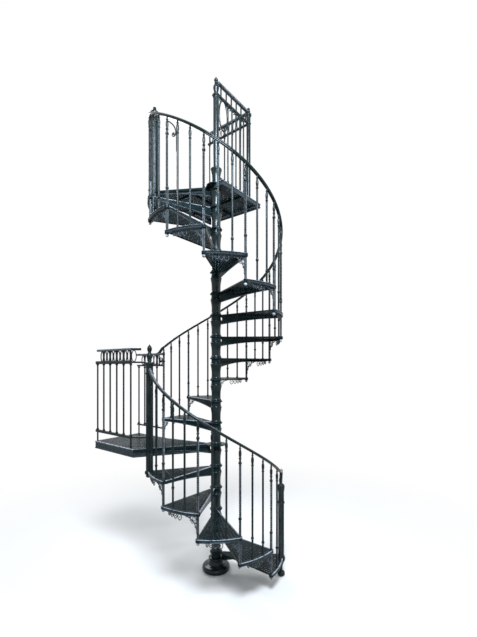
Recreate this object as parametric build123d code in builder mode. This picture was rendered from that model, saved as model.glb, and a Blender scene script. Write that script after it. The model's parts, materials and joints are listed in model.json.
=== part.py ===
"""Cast iron spiral staircase with a middle and a top landing.

The origin is on the column's axis at the underside of the base. +Z is up and
+Y points at the wall that the landings reach. Azimuths are in degrees, seen
from above, from +X. The stair climbs clockwise, so its azimuths go down.
"""

import os
from math import atan, atan2, cos, degrees, hypot, radians, sin, sqrt, tan

from build123d import *

# Climb
RISER = 228.6
FIRST_RISE = 190.0
PITCH = 31.2
LOWER_TREADS = 5
UPPER_TREADS = 11
FIRST_NOSING = -57.4
LANDING_TURN = 43.6
LAP = 2.3

# Treads
RIM_RADIUS = 711.0
PLATE = 8.0
EDGE_BAR = 14.0
EDGE_DEPTH = 28.0
BACK_BAR = 10.0
BACK_DEPTH = 14.0
TREAD_OPENINGS = (1, 2, 3, 4)
LATTICE_BAR = 18.0
HUB_MARGIN = 34.0
RIM_MARGIN = 38.0
WEB = 8.0
WEB_HEEL = 100.0
WEB_TOE = 34.0
WEB_CROWN = 52.0
WEB_GAP = 3.0
LUG_RADIUS = 22.0
NEWEL_LUG_WALL = 11.0
LUG_SIDES = 8

# Bracket under a tread's rim, behind its front corner bar
BRACKET_DROP = 150.0
BRACKET_BAND = 7.0
BRACKET_WIDTH = 8.0
BRACKET_RING_BAND = 6.0
ARCH_CHORDS = 6

# Column
COLUMN_SIDES = 16
POLE_RADIUS = 38.0
POLE_WALL = 6.0
POLE_SPIGOT = 90.0
BORE_CLEARANCE = 0.15
HUB_RADIUS = 52.0
HUB_DEPTH = 56.0
HUB_RISE = 6.0
RING_RADIUS = 66.0
RING_HEIGHT = 16.0
SLEEVE_FOOT = 54.0
SLEEVE_NECK = 45.0
SLEEVE_SHOULDER = 60.0
SLEEVE_BAND = 12.0
SLEEVE_FLARE = 12.0
SLEEVE_SWELL = 50.0
BASE_RADIUS = 147.0
BASE_ROUND = 16.0
BASE_SIDES = 24
BASE_HEIGHT = 84.0
BASE_BUN = 62.0
BASE_NECK = 76.0
BASE_FLARE = 6.0
BASE_FLOOR = 6.0
BASE_COLLAR = 68.0

# Railing on the curve
POST_RADIUS = 690.0
RAIL_RISE = 810.0
RAIL_WIDTH = 34.0
RAIL_DEPTH = 25.0
BAR_RADIUS = 10.0
BAR_SIDES = 6
COLLAR_RADIUS = 15.0
COLLAR_HEIGHT = 14.0
COLLAR_DROPS = (110.0, 786.0)
TWISTED_SIDE = 19.0
NUT_RADIUS = 15.0
NUT_SIDES = 8
SEAT_GAP = 0.3
BARS_PER_TREAD = 3

# Newels
NEWEL_RADIUS = 31.0
LANDING_NEWEL_RADIUS = 36.0
NEWEL_SIDES = 12
NEWEL_FOOT_RADIUS = 42.0
NEWEL_FOOT_HEIGHT = 46.0
CAPITAL_RADIUS = 50.0
CAPITAL_HEIGHT = 38.0
CAPITAL_ABOVE_RAIL = 20.0
FINIAL_NECK = 12.0
FINIAL_RADIUS = 21.0
FINIAL_HEIGHT = 170.0
FINIAL_TIP = 2.0
SMALL_FINIAL_HEIGHT = 70.0
START_NEWEL_CAP = 38.0
START_SET_BACK = 5.0
COLUMN_NEWEL_SLEEVE = 180.0
COLUMN_NEWEL_RING = 960.0
COLUMN_NEWEL_TOP = 1167.0
COLUMN_RING_RADIUS = 42.0
COLUMN_URN = 130.0

# Landings
WALL_DISTANCE = 1160.0
LANDING_SIDE_INSET = 21.0
LANDING_SKIRT = 80.0
TOP_SKIRT = 50.0
BALCONY_DISTANCE = 650.0
TOP_DECK_WIDTH = 622.0
TOP_DECK_FRONT = -155.0
TOP_DECK_LEFT = -78.0
TOP_GUARD_INSET = 32.0
DECK_CELL = 118.0
DECK_BAR = 22.0
DECK_MARGIN = 44.0
LEAST_OPENING = 1500.0

# Guards
LANDING_GUARD_HEIGHT = 1010.0
SIDE_GUARD_HEIGHT = 980.0
TOP_GUARD_HEIGHT = 1140.0
GUARD_RAIL_WIDTH = 38.0
GUARD_RAIL_DEPTH = 20.0
FRIEZE = 150.0
SECOND_RAIL = 16.0
FOOT_GAP = 106.0
GUARD_BAR = 17.0
GUARD_SPACING = 121.0
TOP_GUARD_SPACING = 100.0
GUARD_WALL_GAP = 23.0
GUARD_BAYS = 5
RING_OUTER = 47.0
RING_INNER = 39.0
RING_SIDES = 12
HOOP_WIDTH = 150.0
HOOP_HEIGHT = 320.0
HOOP_BAND = 8.0
HOOP_CHORDS = 20

# Heights and azimuths that follow from the climb
MIDDLE_STEP = LOWER_TREADS + 1
TOP_STEP = MIDDLE_STEP + UPPER_TREADS + 1
MIDDLE_NOSING = FIRST_NOSING - LOWER_TREADS * PITCH
UPPER_NOSING = MIDDLE_NOSING - LANDING_TURN
SPAN = PITCH + LAP
POST_TURN = LAP / 2
RAIL_SLOPE = atan(RISER / radians(PITCH) / POST_RADIUS)
RAIL_DROP = (RAIL_DEPTH / 2 + SEAT_GAP) / cos(RAIL_SLOPE)
BORE = POLE_RADIUS + BORE_CLEARANCE


def step_height(step):
    """Height of a step's walking face, the middle landing and the top one included."""
    return FIRST_RISE + (step - 1) * RISER


def nosing(step):
    """Azimuth of a step's leading edge."""
    if step <= MIDDLE_STEP:
        return FIRST_NOSING - (step - 1) * PITCH
    return UPPER_NOSING - (step - MIDDLE_STEP - 1) * PITCH


MIDDLE_TOP = step_height(MIDDLE_STEP)
TOP_TOP = step_height(TOP_STEP)
TOP_NOSING = nosing(TOP_STEP)


def polar(radius, azimuth):
    """Point on a level plane from its radius and azimuth."""
    return (radius * cos(radians(azimuth)), radius * sin(radians(azimuth)))


def level(height, azimuth=0.0):
    """Level plane on the column's axis, its x direction along the azimuth."""
    return Plane(origin=(0, 0, height), x_dir=(*polar(1, azimuth), 0), z_dir=(0, 0, 1))


def at_post(azimuth, height=0.0, radius=POST_RADIUS):
    """Place of a post at an azimuth, its x direction outwards."""
    return level(height, azimuth).location * Location((radius, 0, 0))


def at_step(step):
    """Place of a step: the column's axis at its walking face, x along its leading edge."""
    return level(step_height(step), nosing(step)).location


def copies(pattern, places):
    """One part that holds a copy of the pattern at each place."""
    with BuildPart() as row:
        for place in places:
            add(pattern.part.moved(place), clean=False)
    return row.part


def sector(inner, outer, first, last):
    """Face between two radii and two azimuths of the workplane."""
    with BuildLine() as outline:
        Line(polar(inner, first), polar(outer, first))
        CenterArc((0, 0), outer, first, last - first)
        Line(polar(outer, last), polar(inner, last))
        CenterArc((0, 0), inner, last, first - last)
    make_face(outline.edges())


def turned(sections, sides):
    """Many sided turned form through a list of radii, across its flats, and heights."""
    for (radius, height), (next_radius, next_height) in zip(sections, sections[1:]):
        with BuildSketch(Plane.XY.offset(height)) as section:
            RegularPolygon(radius, sides, major_radius=False)
        rise = next_height - height
        extrude(section.sketch, amount=rise, taper=degrees(atan2(radius - next_radius, rise)))


def across(radius, sides):
    """Radius to the corners of a many sided section from the radius to its flats."""
    return radius / cos(radians(180 / sides))


def tread_cells():
    """Openings of a tread in rings round the hub, straight sided, a bar's width apart."""
    inner = RING_RADIUS + HUB_MARGIN
    row_depth = (RIM_RADIUS - RIM_MARGIN - inner + LATTICE_BAR) / len(TREAD_OPENINGS)
    for row, count in enumerate(TREAD_OPENINGS):
        near = inner + row * row_depth
        far = near + row_depth - LATTICE_BAR
        turn = -SPAN / count
        for index in range(count):
            front_bar = EDGE_BAR + LATTICE_BAR / 2 if index == 0 else LATTICE_BAR / 2
            corners = [
                polar(radius, azimuth + side * degrees(edge / radius))
                for radius, azimuth, side, edge in (
                    (near, turn * index, -1, front_bar),
                    (far, turn * index, -1, front_bar),
                    (far, turn * (index + 1), 1, LATTICE_BAR / 2),
                    (near, turn * (index + 1), 1, LATTICE_BAR / 2),
                )
            ]
            Polygon(*corners, align=None, mode=Mode.SUBTRACT)


def hub(azimuth=0.0):
    """Collar round the pole with a wider ring, for a walking face at height nought."""
    with BuildSketch(level(-HUB_DEPTH, azimuth)) as collar:
        RegularPolygon(HUB_RADIUS, COLUMN_SIDES)
    extrude(collar.sketch, amount=HUB_DEPTH + HUB_RISE)
    with BuildSketch(level(HUB_RISE - RING_HEIGHT, azimuth)) as ring:
        RegularPolygon(RING_RADIUS, COLUMN_SIDES)
    extrude(ring.sketch, amount=RING_HEIGHT)


def pole_bore(azimuth=0.0):
    """Bore for the pole through a hub."""
    with BuildSketch(level(-HUB_DEPTH, azimuth)) as bore:
        RegularPolygon(BORE, COLUMN_SIDES, major_radius=False)
    extrude(bore.sketch, amount=HUB_DEPTH + HUB_RISE, mode=Mode.SUBTRACT)


def lug_radius(newel):
    """Radius of the boss round a newel of a radius, or round a corner bar where it is nought."""
    return newel + NEWEL_LUG_WALL if newel else LUG_RADIUS


def lugs(posts):
    """Bosses at the rim for the posts, each given by its azimuth and its newel's radius or nought."""
    for azimuth, newel in posts:
        with BuildSketch(level(-EDGE_DEPTH, azimuth)) as boss:
            with Locations((POST_RADIUS, 0)):
                RegularPolygon(lug_radius(newel), LUG_SIDES)
        extrude(boss.sketch, amount=EDGE_DEPTH)


def post_holes(posts):
    """Holes through the lugs, square for a corner bar and many sided for a newel."""
    for azimuth, newel in posts:
        with BuildSketch(level(-EDGE_DEPTH, azimuth)) as hole:
            with Locations((POST_RADIUS, 0)):
                if newel:
                    RegularPolygon(newel + SEAT_GAP, NEWEL_SIDES, major_radius=False)
                else:
                    Rectangle(TWISTED_SIDE + 2 * SEAT_GAP, TWISTED_SIDE + 2 * SEAT_GAP)
        extrude(hole.sketch, amount=EDGE_DEPTH, mode=Mode.SUBTRACT)


def leading_web(azimuth, reach):
    """Upright web under a leading edge, deep at its heel by the column and arched to the rim."""
    side = polar(1, azimuth - 90)
    plane = Plane(origin=(0, 0, 0), x_dir=(*polar(1, azimuth), 0), z_dir=(*side, 0))
    heel = SLEEVE_SHOULDER + WEB_GAP
    with BuildSketch(plane.offset(EDGE_BAR / 2)) as web:
        with BuildLine():
            Polyline(
                (heel, -WEB_HEEL), (heel, -HUB_DEPTH), (HUB_RADIUS - EDGE_BAR / 2, -HUB_DEPTH),
                (HUB_RADIUS - EDGE_BAR / 2, -PLATE), (reach, -PLATE), (reach, -WEB_TOE),
            )
            crown = ((heel + reach) / 2, -WEB_CROWN)
            ThreePointArc((reach, -WEB_TOE), crown, (heel, -WEB_HEEL))
        make_face()
    extrude(web.sketch, amount=WEB / 2, both=True)


def bracket():
    """Openwork bracket from the rim down the corner bar: a strap, an arch and a ring."""
    near = TWISTED_SIDE / 2 + SEAT_GAP
    radius = BRACKET_DROP - EDGE_DEPTH
    ring = radius * (sqrt(2) - 1) / (sqrt(2) + 1)
    out = polar(1, -POST_TURN)
    along = polar(1, -POST_TURN - 90)
    origin = (*polar(POST_RADIUS, -POST_TURN), -EDGE_DEPTH)
    plane = Plane(origin=origin, x_dir=(*along, 0), z_dir=(-out[0], -out[1], 0))
    with BuildSketch(plane) as openwork:
        with Locations((near + BRACKET_BAND / 2, -radius / 2 + PLATE / 2)):
            Rectangle(BRACKET_BAND, radius + PLATE)
        with BuildLine() as arch:
            turns = [90 + 90 * index / ARCH_CHORDS for index in range(ARCH_CHORDS + 1)]
            outer = [polar(radius, turn) for turn in turns]
            inner = [polar(radius - BRACKET_BAND, turn) for turn in reversed(turns)]
            Polyline(*[(near + radius + x, y - radius) for x, y in outer + inner], close=True)
        make_face(arch.edges())
        with Locations((near + radius - BRACKET_BAND, 0)):
            Rectangle(BRACKET_BAND * 2, BRACKET_BAND, align=(Align.CENTER, Align.CENTER))
        with Locations((near + ring, -ring)):
            RegularPolygon(ring + 1, RING_SIDES)
            RegularPolygon(ring - BRACKET_RING_BAND, RING_SIDES, mode=Mode.SUBTRACT)
    extrude(openwork.sketch, amount=BRACKET_WIDTH / 2, both=True)


def make_tread(front_post, back_newel, bracketed):
    """One pierced tread casting with its hub, rim, web, lugs and bracket."""
    posts = [front_post, (-PITCH - POST_TURN, back_newel)]
    with BuildPart() as tread:
        with BuildSketch(level(-PLATE)):
            sector(HUB_RADIUS - EDGE_BAR / 2, RIM_RADIUS, 0, -SPAN)
            tread_cells()
        extrude(amount=PLATE)
        length = RIM_RADIUS - HUB_RADIUS
        with BuildSketch(level(-EDGE_DEPTH)):
            sector(RIM_RADIUS - EDGE_BAR, RIM_RADIUS, 0, -SPAN)
            with Locations((HUB_RADIUS - 1, -EDGE_BAR)):
                Rectangle(length, EDGE_BAR, align=(Align.MIN, Align.MIN))
        extrude(amount=EDGE_DEPTH)
        with BuildSketch(level(-BACK_DEPTH, -SPAN)):
            with Locations((HUB_RADIUS - 1, 0)):
                Rectangle(length, BACK_BAR, align=(Align.MIN, Align.MIN))
        extrude(amount=BACK_DEPTH)
        leading_web(0, POST_RADIUS - lug_radius(front_post[1]))
        if bracketed:
            bracket()
        hub()
        lugs(posts)
        pole_bore()
        post_holes(posts)
    return tread


def deck_openings(points, solid_bands):
    """Square openings clipped to a deck's outline, clear of the hub and of solid bands."""
    reach = RIM_RADIUS + WALL_DISTANCE
    count = 2 * round(reach / DECK_CELL) + 1
    with BuildSketch() as grid:
        with GridLocations(DECK_CELL, DECK_CELL, count, count):
            Rectangle(DECK_CELL - DECK_BAR, DECK_CELL - DECK_BAR)
    with BuildSketch() as openings:
        with BuildLine() as outline:
            Polyline(*points, close=True)
        make_face(outline.edges())
        offset(amount=-DECK_MARGIN, kind=Kind.INTERSECTION, mode=Mode.REPLACE)
        add(grid.sketch, mode=Mode.INTERSECT)
        Circle(RING_RADIUS + HUB_MARGIN, mode=Mode.SUBTRACT)
        for centre, length, width in solid_bands:
            with Locations(centre):
                Rectangle(length, width, mode=Mode.SUBTRACT)
    return [face for face in openings.faces() if face.area > LEAST_OPENING]


def make_landing(points, solid_bands, lead, posts, skirt):
    """Landing deck on a hub, with a skirt round its edge, a leading web, lugs and openings."""
    openings = deck_openings(points, solid_bands)
    with BuildPart() as landing:
        with BuildSketch(level(-PLATE)):
            with BuildLine() as outline:
                Polyline(*points, close=True)
            make_face(outline.edges())
            add(openings, mode=Mode.SUBTRACT)
        extrude(amount=PLATE)
        with BuildSketch(level(-skirt)):
            with BuildLine() as outline:
                Polyline(*points, close=True)
            make_face(outline.edges())
            offset(amount=-EDGE_BAR, kind=Kind.INTERSECTION, mode=Mode.SUBTRACT)
        extrude(amount=skirt)
        leading_web(lead, POST_RADIUS - lug_radius(LANDING_NEWEL_RADIUS))
        with BuildSketch(level(-WEB_HEEL)):
            Circle(SLEEVE_SHOULDER + WEB_GAP)
        extrude(amount=WEB_HEEL, mode=Mode.SUBTRACT)
        with BuildSketch(level(-PLATE)):
            Circle(SLEEVE_SHOULDER + WEB_GAP + 1)
        extrude(amount=PLATE)
        for azimuth, newel in posts:
            with BuildSketch(level(-skirt, azimuth)):
                with Locations((POST_RADIUS, 0)):
                    Circle(newel + SEAT_GAP if newel else NUT_RADIUS + SEAT_GAP)
            extrude(amount=skirt - EDGE_DEPTH, mode=Mode.SUBTRACT)
        hub(lead)
        lugs(posts)
        pole_bore(lead)
        post_holes(posts)
    return landing


def make_middle_landing():
    """Landing from the hub to the wall, between the two flights."""
    left = -RIM_RADIUS
    right = polar(POST_RADIUS, UPPER_NOSING - POST_TURN)[0] + LANDING_SIDE_INSET
    corner = left * tan(radians(MIDDLE_NOSING))
    back_corner = right * tan(radians(UPPER_NOSING - LAP))
    points = [(0, 0), (left, corner), (left, WALL_DISTANCE), (right, WALL_DISTANCE), (right, back_corner)]
    posts = [(MIDDLE_NOSING - POST_TURN, LANDING_NEWEL_RADIUS), (UPPER_NOSING - POST_TURN, 0)]
    return make_landing(points, [], MIDDLE_NOSING, posts, LANDING_SKIRT)


def make_top_landing():
    """Landing from the hub to the balcony's edge, with a solid band under its front guard."""
    far_left = BALCONY_DISTANCE / tan(radians(TOP_NOSING))
    back = polar(RING_RADIUS, 190)
    points = [
        polar(RING_RADIUS, TOP_NOSING), (far_left, BALCONY_DISTANCE), (TOP_DECK_WIDTH, BALCONY_DISTANCE),
        (TOP_DECK_WIDTH, TOP_DECK_FRONT), (TOP_DECK_LEFT, TOP_DECK_FRONT), back,
    ]
    band = ((TOP_DECK_WIDTH / 2, 0), TOP_DECK_WIDTH, 2 * DECK_BAR)
    posts = [(TOP_NOSING - POST_TURN, LANDING_NEWEL_RADIUS)]
    return make_landing(points, [band], TOP_NOSING, posts, TOP_SKIRT)


def make_sleeve(height):
    """Vase shaped sleeve round the pole, wide below the ring above it."""
    with BuildPart() as sleeve:
        turned(
            (
                (SLEEVE_FOOT, 0), (SLEEVE_FOOT, SLEEVE_BAND), (SLEEVE_NECK, SLEEVE_BAND + SLEEVE_FLARE),
                (SLEEVE_NECK, height - SLEEVE_BAND - SLEEVE_SWELL), (SLEEVE_SHOULDER, height - SLEEVE_BAND),
                (SLEEVE_SHOULDER, height - SLEEVE_BAND / 2), (HUB_RADIUS, height),
            ),
            COLUMN_SIDES,
        )
        with BuildSketch(level(0)):
            RegularPolygon(BORE, COLUMN_SIDES, major_radius=False)
        extrude(amount=height, mode=Mode.SUBTRACT)
    return sleeve


def make_base_collar():
    """Short straight collar between the base and the first hub."""
    height = FIRST_RISE - HUB_DEPTH - BASE_HEIGHT
    with BuildPart() as collar:
        with BuildSketch(level(0)):
            RegularPolygon(BASE_COLLAR, COLUMN_SIDES, major_radius=False)
            RegularPolygon(BORE, COLUMN_SIDES, major_radius=False, mode=Mode.SUBTRACT)
        extrude(amount=height)
    return collar


def sleeve_places(first_step, last_step):
    """Places on top of the hubs from one step up to the one before another."""
    steps = range(first_step, last_step)
    return [level(step_height(step) + HUB_RISE, nosing(step)).location for step in steps]


def make_base():
    """Bun shaped foot with a small flare on top and a closed floor under the pole."""
    with BuildPart() as base:
        turned(
            (
                (BASE_RADIUS - BASE_ROUND, 0), (BASE_RADIUS, BASE_ROUND),
                (BASE_RADIUS, BASE_BUN / 2), (BASE_RADIUS - BASE_ROUND, BASE_BUN * 0.78),
                (BASE_NECK, BASE_BUN), (BASE_NECK - BASE_FLARE, BASE_HEIGHT),
            ),
            BASE_SIDES,
        )
        with BuildSketch(level(BASE_FLOOR)):
            RegularPolygon(BORE, COLUMN_SIDES, major_radius=False)
        extrude(amount=BASE_HEIGHT, mode=Mode.SUBTRACT)
    return base


def make_pole():
    """Steel tube from the base's floor into the column's newel."""
    with BuildPart() as pole:
        with BuildSketch(level(BASE_FLOOR)):
            Circle(POLE_RADIUS)
            Circle(POLE_RADIUS - POLE_WALL, mode=Mode.SUBTRACT)
        extrude(amount=TOP_TOP + POLE_SPIGOT - BASE_FLOOR)
    return pole


def rail_above(turn):
    """Height of the handrail's centre above a walking face, past its nosing by a turn."""
    return RAIL_RISE + turn / PITCH * RISER


def make_handrail(first_step, first_turn, last_turn, cuts):
    """Spiral rail between two turns past a step's nosing, cut back round the newels.

    Each cut is a place, a radius and the heights that it reaches between.
    """
    first_azimuth = nosing(first_step) - first_turn
    start = level(step_height(first_step) + rail_above(first_turn), first_azimuth)
    rise = (last_turn - first_turn) / PITCH * RISER
    path = start.location * Helix(pitch=RISER * 360 / PITCH, height=rise, radius=POST_RADIUS, lefthand=True)
    outwards = Vector(*polar(1, first_azimuth), 0)
    half = RAIL_WIDTH / 2
    top = RAIL_DEPTH / 2
    with BuildPart() as rail:
        with BuildSketch(Plane(origin=path @ 0, x_dir=outwards, z_dir=path % 0)):
            with BuildLine():
                Polyline(
                    (-half * 0.7, -top), (half * 0.7, -top), (half, 0), (half * 0.55, top),
                    (-half * 0.55, top), (-half, 0), close=True,
                )
            make_face()
        sweep(path=path, is_frenet=True)
        for centre, radius, low, high in cuts:
            with BuildSketch(level(low)):
                with Locations(centre):
                    Circle(radius)
            extrude(amount=high - low, mode=Mode.SUBTRACT)
    return rail


def bar(turn, bottom, square):
    """Upright bar at a turn past a nosing, from a height to the handrail's underside."""
    top = rail_above(turn) - RAIL_DROP
    with BuildSketch(level(bottom, -turn)) as section:
        with Locations((POST_RADIUS, 0)):
            if square:
                Rectangle(TWISTED_SIDE, TWISTED_SIDE)
            else:
                RegularPolygon(BAR_RADIUS, BAR_SIDES)
    extrude(section.sketch, amount=top - bottom + RAIL_DEPTH)
    outwards = Vector(*polar(1, -turn), 0)
    uphill = Vector(*polar(cos(RAIL_SLOPE), -turn - 90), sin(RAIL_SLOPE))
    foot = (*polar(POST_RADIUS, -turn), top)
    underside = Plane(origin=foot, x_dir=outwards, z_dir=uphill.cross(outwards))
    with BuildSketch(underside) as trim:
        Rectangle(RAIL_WIDTH * 2, RAIL_WIDTH * 2)
    extrude(trim.sketch, amount=RAIL_WIDTH * 2, mode=Mode.SUBTRACT)


def make_plain_bars():
    """The plain bars of one tread, each with a small collar near its foot and its top."""
    with BuildPart() as bars:
        for index in range(1, BARS_PER_TREAD):
            turn = POST_TURN + PITCH * index / BARS_PER_TREAD
            bar(turn, 0, square=False)
            for drop in COLLAR_DROPS:
                with BuildSketch(level(rail_above(turn) - drop, -turn)):
                    with Locations((POST_RADIUS, 0)):
                        RegularPolygon(COLLAR_RADIUS, BAR_SIDES)
                extrude(amount=COLLAR_HEIGHT)
    return bars


def make_corner_bar():
    """Bar that ties a tread's front corner to the step below, with a ball nut under both."""
    low = -RISER - EDGE_DEPTH
    with BuildPart() as corner:
        bar(POST_TURN, low - NUT_RADIUS, square=True)
        with BuildSketch(level(low - 2 * NUT_RADIUS, -POST_TURN)):
            with Locations((POST_RADIUS, 0)):
                RegularPolygon(NUT_RADIUS, NUT_SIDES)
        extrude(amount=2 * NUT_RADIUS - SEAT_GAP)
    return corner


def finial(bottom, height):
    """Sections of a two lobed finial on a narrow neck."""
    return (
        (FINIAL_RADIUS, bottom + height * 0.3), (FINIAL_NECK, bottom + height * 0.55),
        (FINIAL_RADIUS * 0.8, bottom + height * 0.75), (FINIAL_TIP, bottom + height),
    )


def make_newel(radius, height, capital, finial_height):
    """Many sided post with a capital and a finial on it."""
    with BuildPart() as newel:
        turned(
            (
                (radius, 0), (radius, height), (capital, height + CAPITAL_HEIGHT * 0.4),
                (capital, height + CAPITAL_HEIGHT * 0.7), (FINIAL_NECK, height + CAPITAL_HEIGHT),
                *finial(height + CAPITAL_HEIGHT, finial_height),
            ),
            NEWEL_SIDES,
        )
    return newel


def make_start_newel(height):
    """First newel: a ball foot on the paving, a straight post and a low cap."""
    with BuildPart() as newel:
        turned(
            (
                (NEWEL_RADIUS, 0), (NEWEL_FOOT_RADIUS, NEWEL_FOOT_HEIGHT * 0.35),
                (NEWEL_FOOT_RADIUS, NEWEL_FOOT_HEIGHT * 0.65), (NEWEL_RADIUS, NEWEL_FOOT_HEIGHT),
                (NEWEL_RADIUS, height), (START_NEWEL_CAP, height + CAPITAL_HEIGHT * 0.25),
                (NEWEL_RADIUS * 0.8, height + CAPITAL_HEIGHT),
            ),
            NEWEL_SIDES,
        )
    return newel


def make_column_newel():
    """Newel on the top hub: a last sleeve over the pole's spigot, a post, an urn and a finial."""
    with BuildPart() as newel:
        turned(
            (
                (SLEEVE_FOOT, 0), (SLEEVE_FOOT, SLEEVE_BAND), (SLEEVE_NECK, SLEEVE_BAND + SLEEVE_FLARE),
                (SLEEVE_NECK, COLUMN_NEWEL_SLEEVE - SLEEVE_BAND - SLEEVE_SWELL),
                (SLEEVE_SHOULDER, COLUMN_NEWEL_SLEEVE - SLEEVE_BAND),
                (SLEEVE_SHOULDER, COLUMN_NEWEL_SLEEVE),
                (NEWEL_RADIUS, COLUMN_NEWEL_SLEEVE + SLEEVE_BAND),
                (NEWEL_RADIUS, COLUMN_NEWEL_RING - SLEEVE_BAND),
                (COLUMN_RING_RADIUS, COLUMN_NEWEL_RING),
                (NEWEL_RADIUS * 0.7, COLUMN_NEWEL_RING + SLEEVE_BAND),
                (NEWEL_RADIUS, COLUMN_NEWEL_RING + COLUMN_URN * 0.55),
                (FINIAL_NECK, COLUMN_NEWEL_RING + COLUMN_URN),
                (FINIAL_RADIUS, COLUMN_NEWEL_RING + COLUMN_URN * 1.2), (FINIAL_TIP, COLUMN_NEWEL_TOP),
            ),
            COLUMN_SIDES,
        )
        with BuildSketch(level(0)):
            RegularPolygon(BORE, COLUMN_SIDES, major_radius=False)
        extrude(amount=POLE_SPIGOT, mode=Mode.SUBTRACT)
    return newel


def guard_plane(start, end, base_height):
    """Upright plane of a guard's run: x along it from its start, y up from the deck."""
    along = Vector(end[0] - start[0], end[1] - start[1], 0).normalized()
    return Plane(origin=(*start, base_height), x_dir=along, z_dir=along.cross(Vector(0, 0, 1)))


def oval(width, height):
    """Points round an upright oval."""
    turns = [360 * index / HOOP_CHORDS for index in range(HOOP_CHORDS)]
    return [(width / 2 * polar(1, turn)[0], height / 2 * polar(1, turn)[1]) for turn in turns]


def guard_run(plane, length, height, bars, posts, ringed, hoop):
    """One straight run of a guard: rails, frieze, bars and, where it has them, rings or a hoop."""
    second = height - FRIEZE
    frieze_height = (second + SECOND_RAIL + height - GUARD_RAIL_DEPTH) / 2
    with BuildSketch(plane) as lattice:
        for low in (second, FOOT_GAP):
            with Locations((length / 2, low + SECOND_RAIL / 2)):
                Rectangle(length, SECOND_RAIL)
        for index, place in enumerate(bars):
            foot = 0 if index in (0, len(bars) - 1) else FOOT_GAP
            with Locations((place, foot)):
                Rectangle(GUARD_BAR, height - GUARD_RAIL_DEPTH / 2 - foot, align=(Align.CENTER, Align.MIN))
        for place in posts:
            with Locations((place, second)):
                Rectangle(GUARD_BAR, FRIEZE - GUARD_RAIL_DEPTH / 2, align=(Align.CENTER, Align.MIN))
        if ringed:
            for left, right in zip(bars, bars[1:]):
                middle = (left + right) / 2
                with Locations((middle, frieze_height)):
                    Rectangle(right - left, RING_OUTER - RING_INNER)
                    RegularPolygon(RING_OUTER, RING_SIDES)
                    RegularPolygon(RING_INNER, RING_SIDES, mode=Mode.SUBTRACT)
        if hoop:
            with Locations((hoop, second - HOOP_HEIGHT / 2 + HOOP_BAND / 2)):
                Polygon(*oval(HOOP_WIDTH, HOOP_HEIGHT), align=None)
                inside = oval(HOOP_WIDTH - 2 * HOOP_BAND, HOOP_HEIGHT - 2 * HOOP_BAND)
                Polygon(*inside, align=None, mode=Mode.SUBTRACT)
    extrude(lattice.sketch, amount=GUARD_BAR / 2, both=True)
    with BuildSketch(plane) as rail:
        with Locations((length / 2, height - GUARD_RAIL_DEPTH / 2)):
            Rectangle(length, GUARD_RAIL_DEPTH)
    extrude(rail.sketch, amount=GUARD_RAIL_WIDTH / 2, both=True)


def make_guard(runs, base_height, height, cuts, ringed=False):
    """Guard of straight runs in one casting, cut back round the posts that it meets.

    Each run has its start, its end, its bars' places along it, places of
    short posts in its frieze and the place of a hoop or None. Each cut is a
    centre, a radius and the heights that it reaches between.
    """
    with BuildPart() as panel:
        for start, end, bars, posts, hoop in runs:
            length = hypot(end[0] - start[0], end[1] - start[1])
            guard_run(guard_plane(start, end, base_height), length, height, bars, posts, ringed, hoop)
        for centre, radius, low, high in cuts:
            with BuildSketch(level(low)):
                with Locations(centre):
                    Circle(radius)
            extrude(amount=high - low, mode=Mode.SUBTRACT)
    return panel


def newel_cuts(centre, radius, bottom, capital_base, capital, top):
    """Clearance cuts round a newel: its post, its capital and its finial."""
    capital_top = capital_base + CAPITAL_HEIGHT
    return [
        (centre, across(radius, NEWEL_SIDES) + SEAT_GAP, bottom, capital_base),
        (centre, across(capital, NEWEL_SIDES) + SEAT_GAP, capital_base, capital_top),
        (centre, across(FINIAL_RADIUS, NEWEL_SIDES) + SEAT_GAP, capital_top, top),
    ]


def spaced(first, last, spacing):
    """Evenly spaced places from the first to the last, about a spacing apart."""
    count = max(1, round((last - first) / spacing))
    return [first + (last - first) * index / count for index in range(count + 1)]


os.makedirs("parts", exist_ok=True)


def save(name, part):
    """Label a finished piece and write its file."""
    part.label = name
    export_step(part, f"parts/{name}.step")


# Column
save("base_flange", make_base().part)
save("centre_pole", make_pole().part)
full_sleeve = make_sleeve(RISER - HUB_DEPTH - HUB_RISE)
base_collar = make_base_collar().part.moved(Location((0, 0, BASE_HEIGHT)))
with BuildPart() as lower_sleeves:
    add(base_collar)
    add(copies(full_sleeve, sleeve_places(1, MIDDLE_STEP)), clean=False)
save("lower_sleeves", lower_sleeves.part)
save("upper_sleeves", copies(full_sleeve, sleeve_places(MIDDLE_STEP, TOP_STEP)))

# Treads and landings
corner_post = (-POST_TURN, 0)
first_tread = make_tread((-START_SET_BACK, NEWEL_RADIUS), 0, False)
plain_tread = make_tread(corner_post, 0, True)
newel_tread = make_tread(corner_post, LANDING_NEWEL_RADIUS, True)
tread_steps = [step for step in range(1, TOP_STEP) if step != MIDDLE_STEP]
for number, step in enumerate(tread_steps, start=1):
    casting = plain_tread
    if step == 1:
        casting = first_tread
    elif step in (MIDDLE_STEP - 1, TOP_STEP - 1):
        casting = newel_tread
    save(f"tread_{number:02d}", casting.part.moved(at_step(step)))
save("middle_landing", make_middle_landing().part.moved(Location((0, 0, MIDDLE_TOP))))
save("top_landing", make_top_landing().part.moved(Location((0, 0, TOP_TOP))))

# Bars on the treads
lower_steps = range(1, MIDDLE_STEP)
upper_steps = range(MIDDLE_STEP + 1, TOP_STEP)
tread_bars = make_plain_bars()
corner_bar = make_corner_bar()
save("lower_balusters", copies(tread_bars, [at_step(step) for step in lower_steps]))
save("upper_balusters", copies(tread_bars, [at_step(step) for step in upper_steps]))
save("lower_corner_bars", copies(corner_bar, [at_step(step) for step in lower_steps[1:]]))
save("upper_corner_bars", copies(corner_bar, [at_step(step) for step in upper_steps]))

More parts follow.
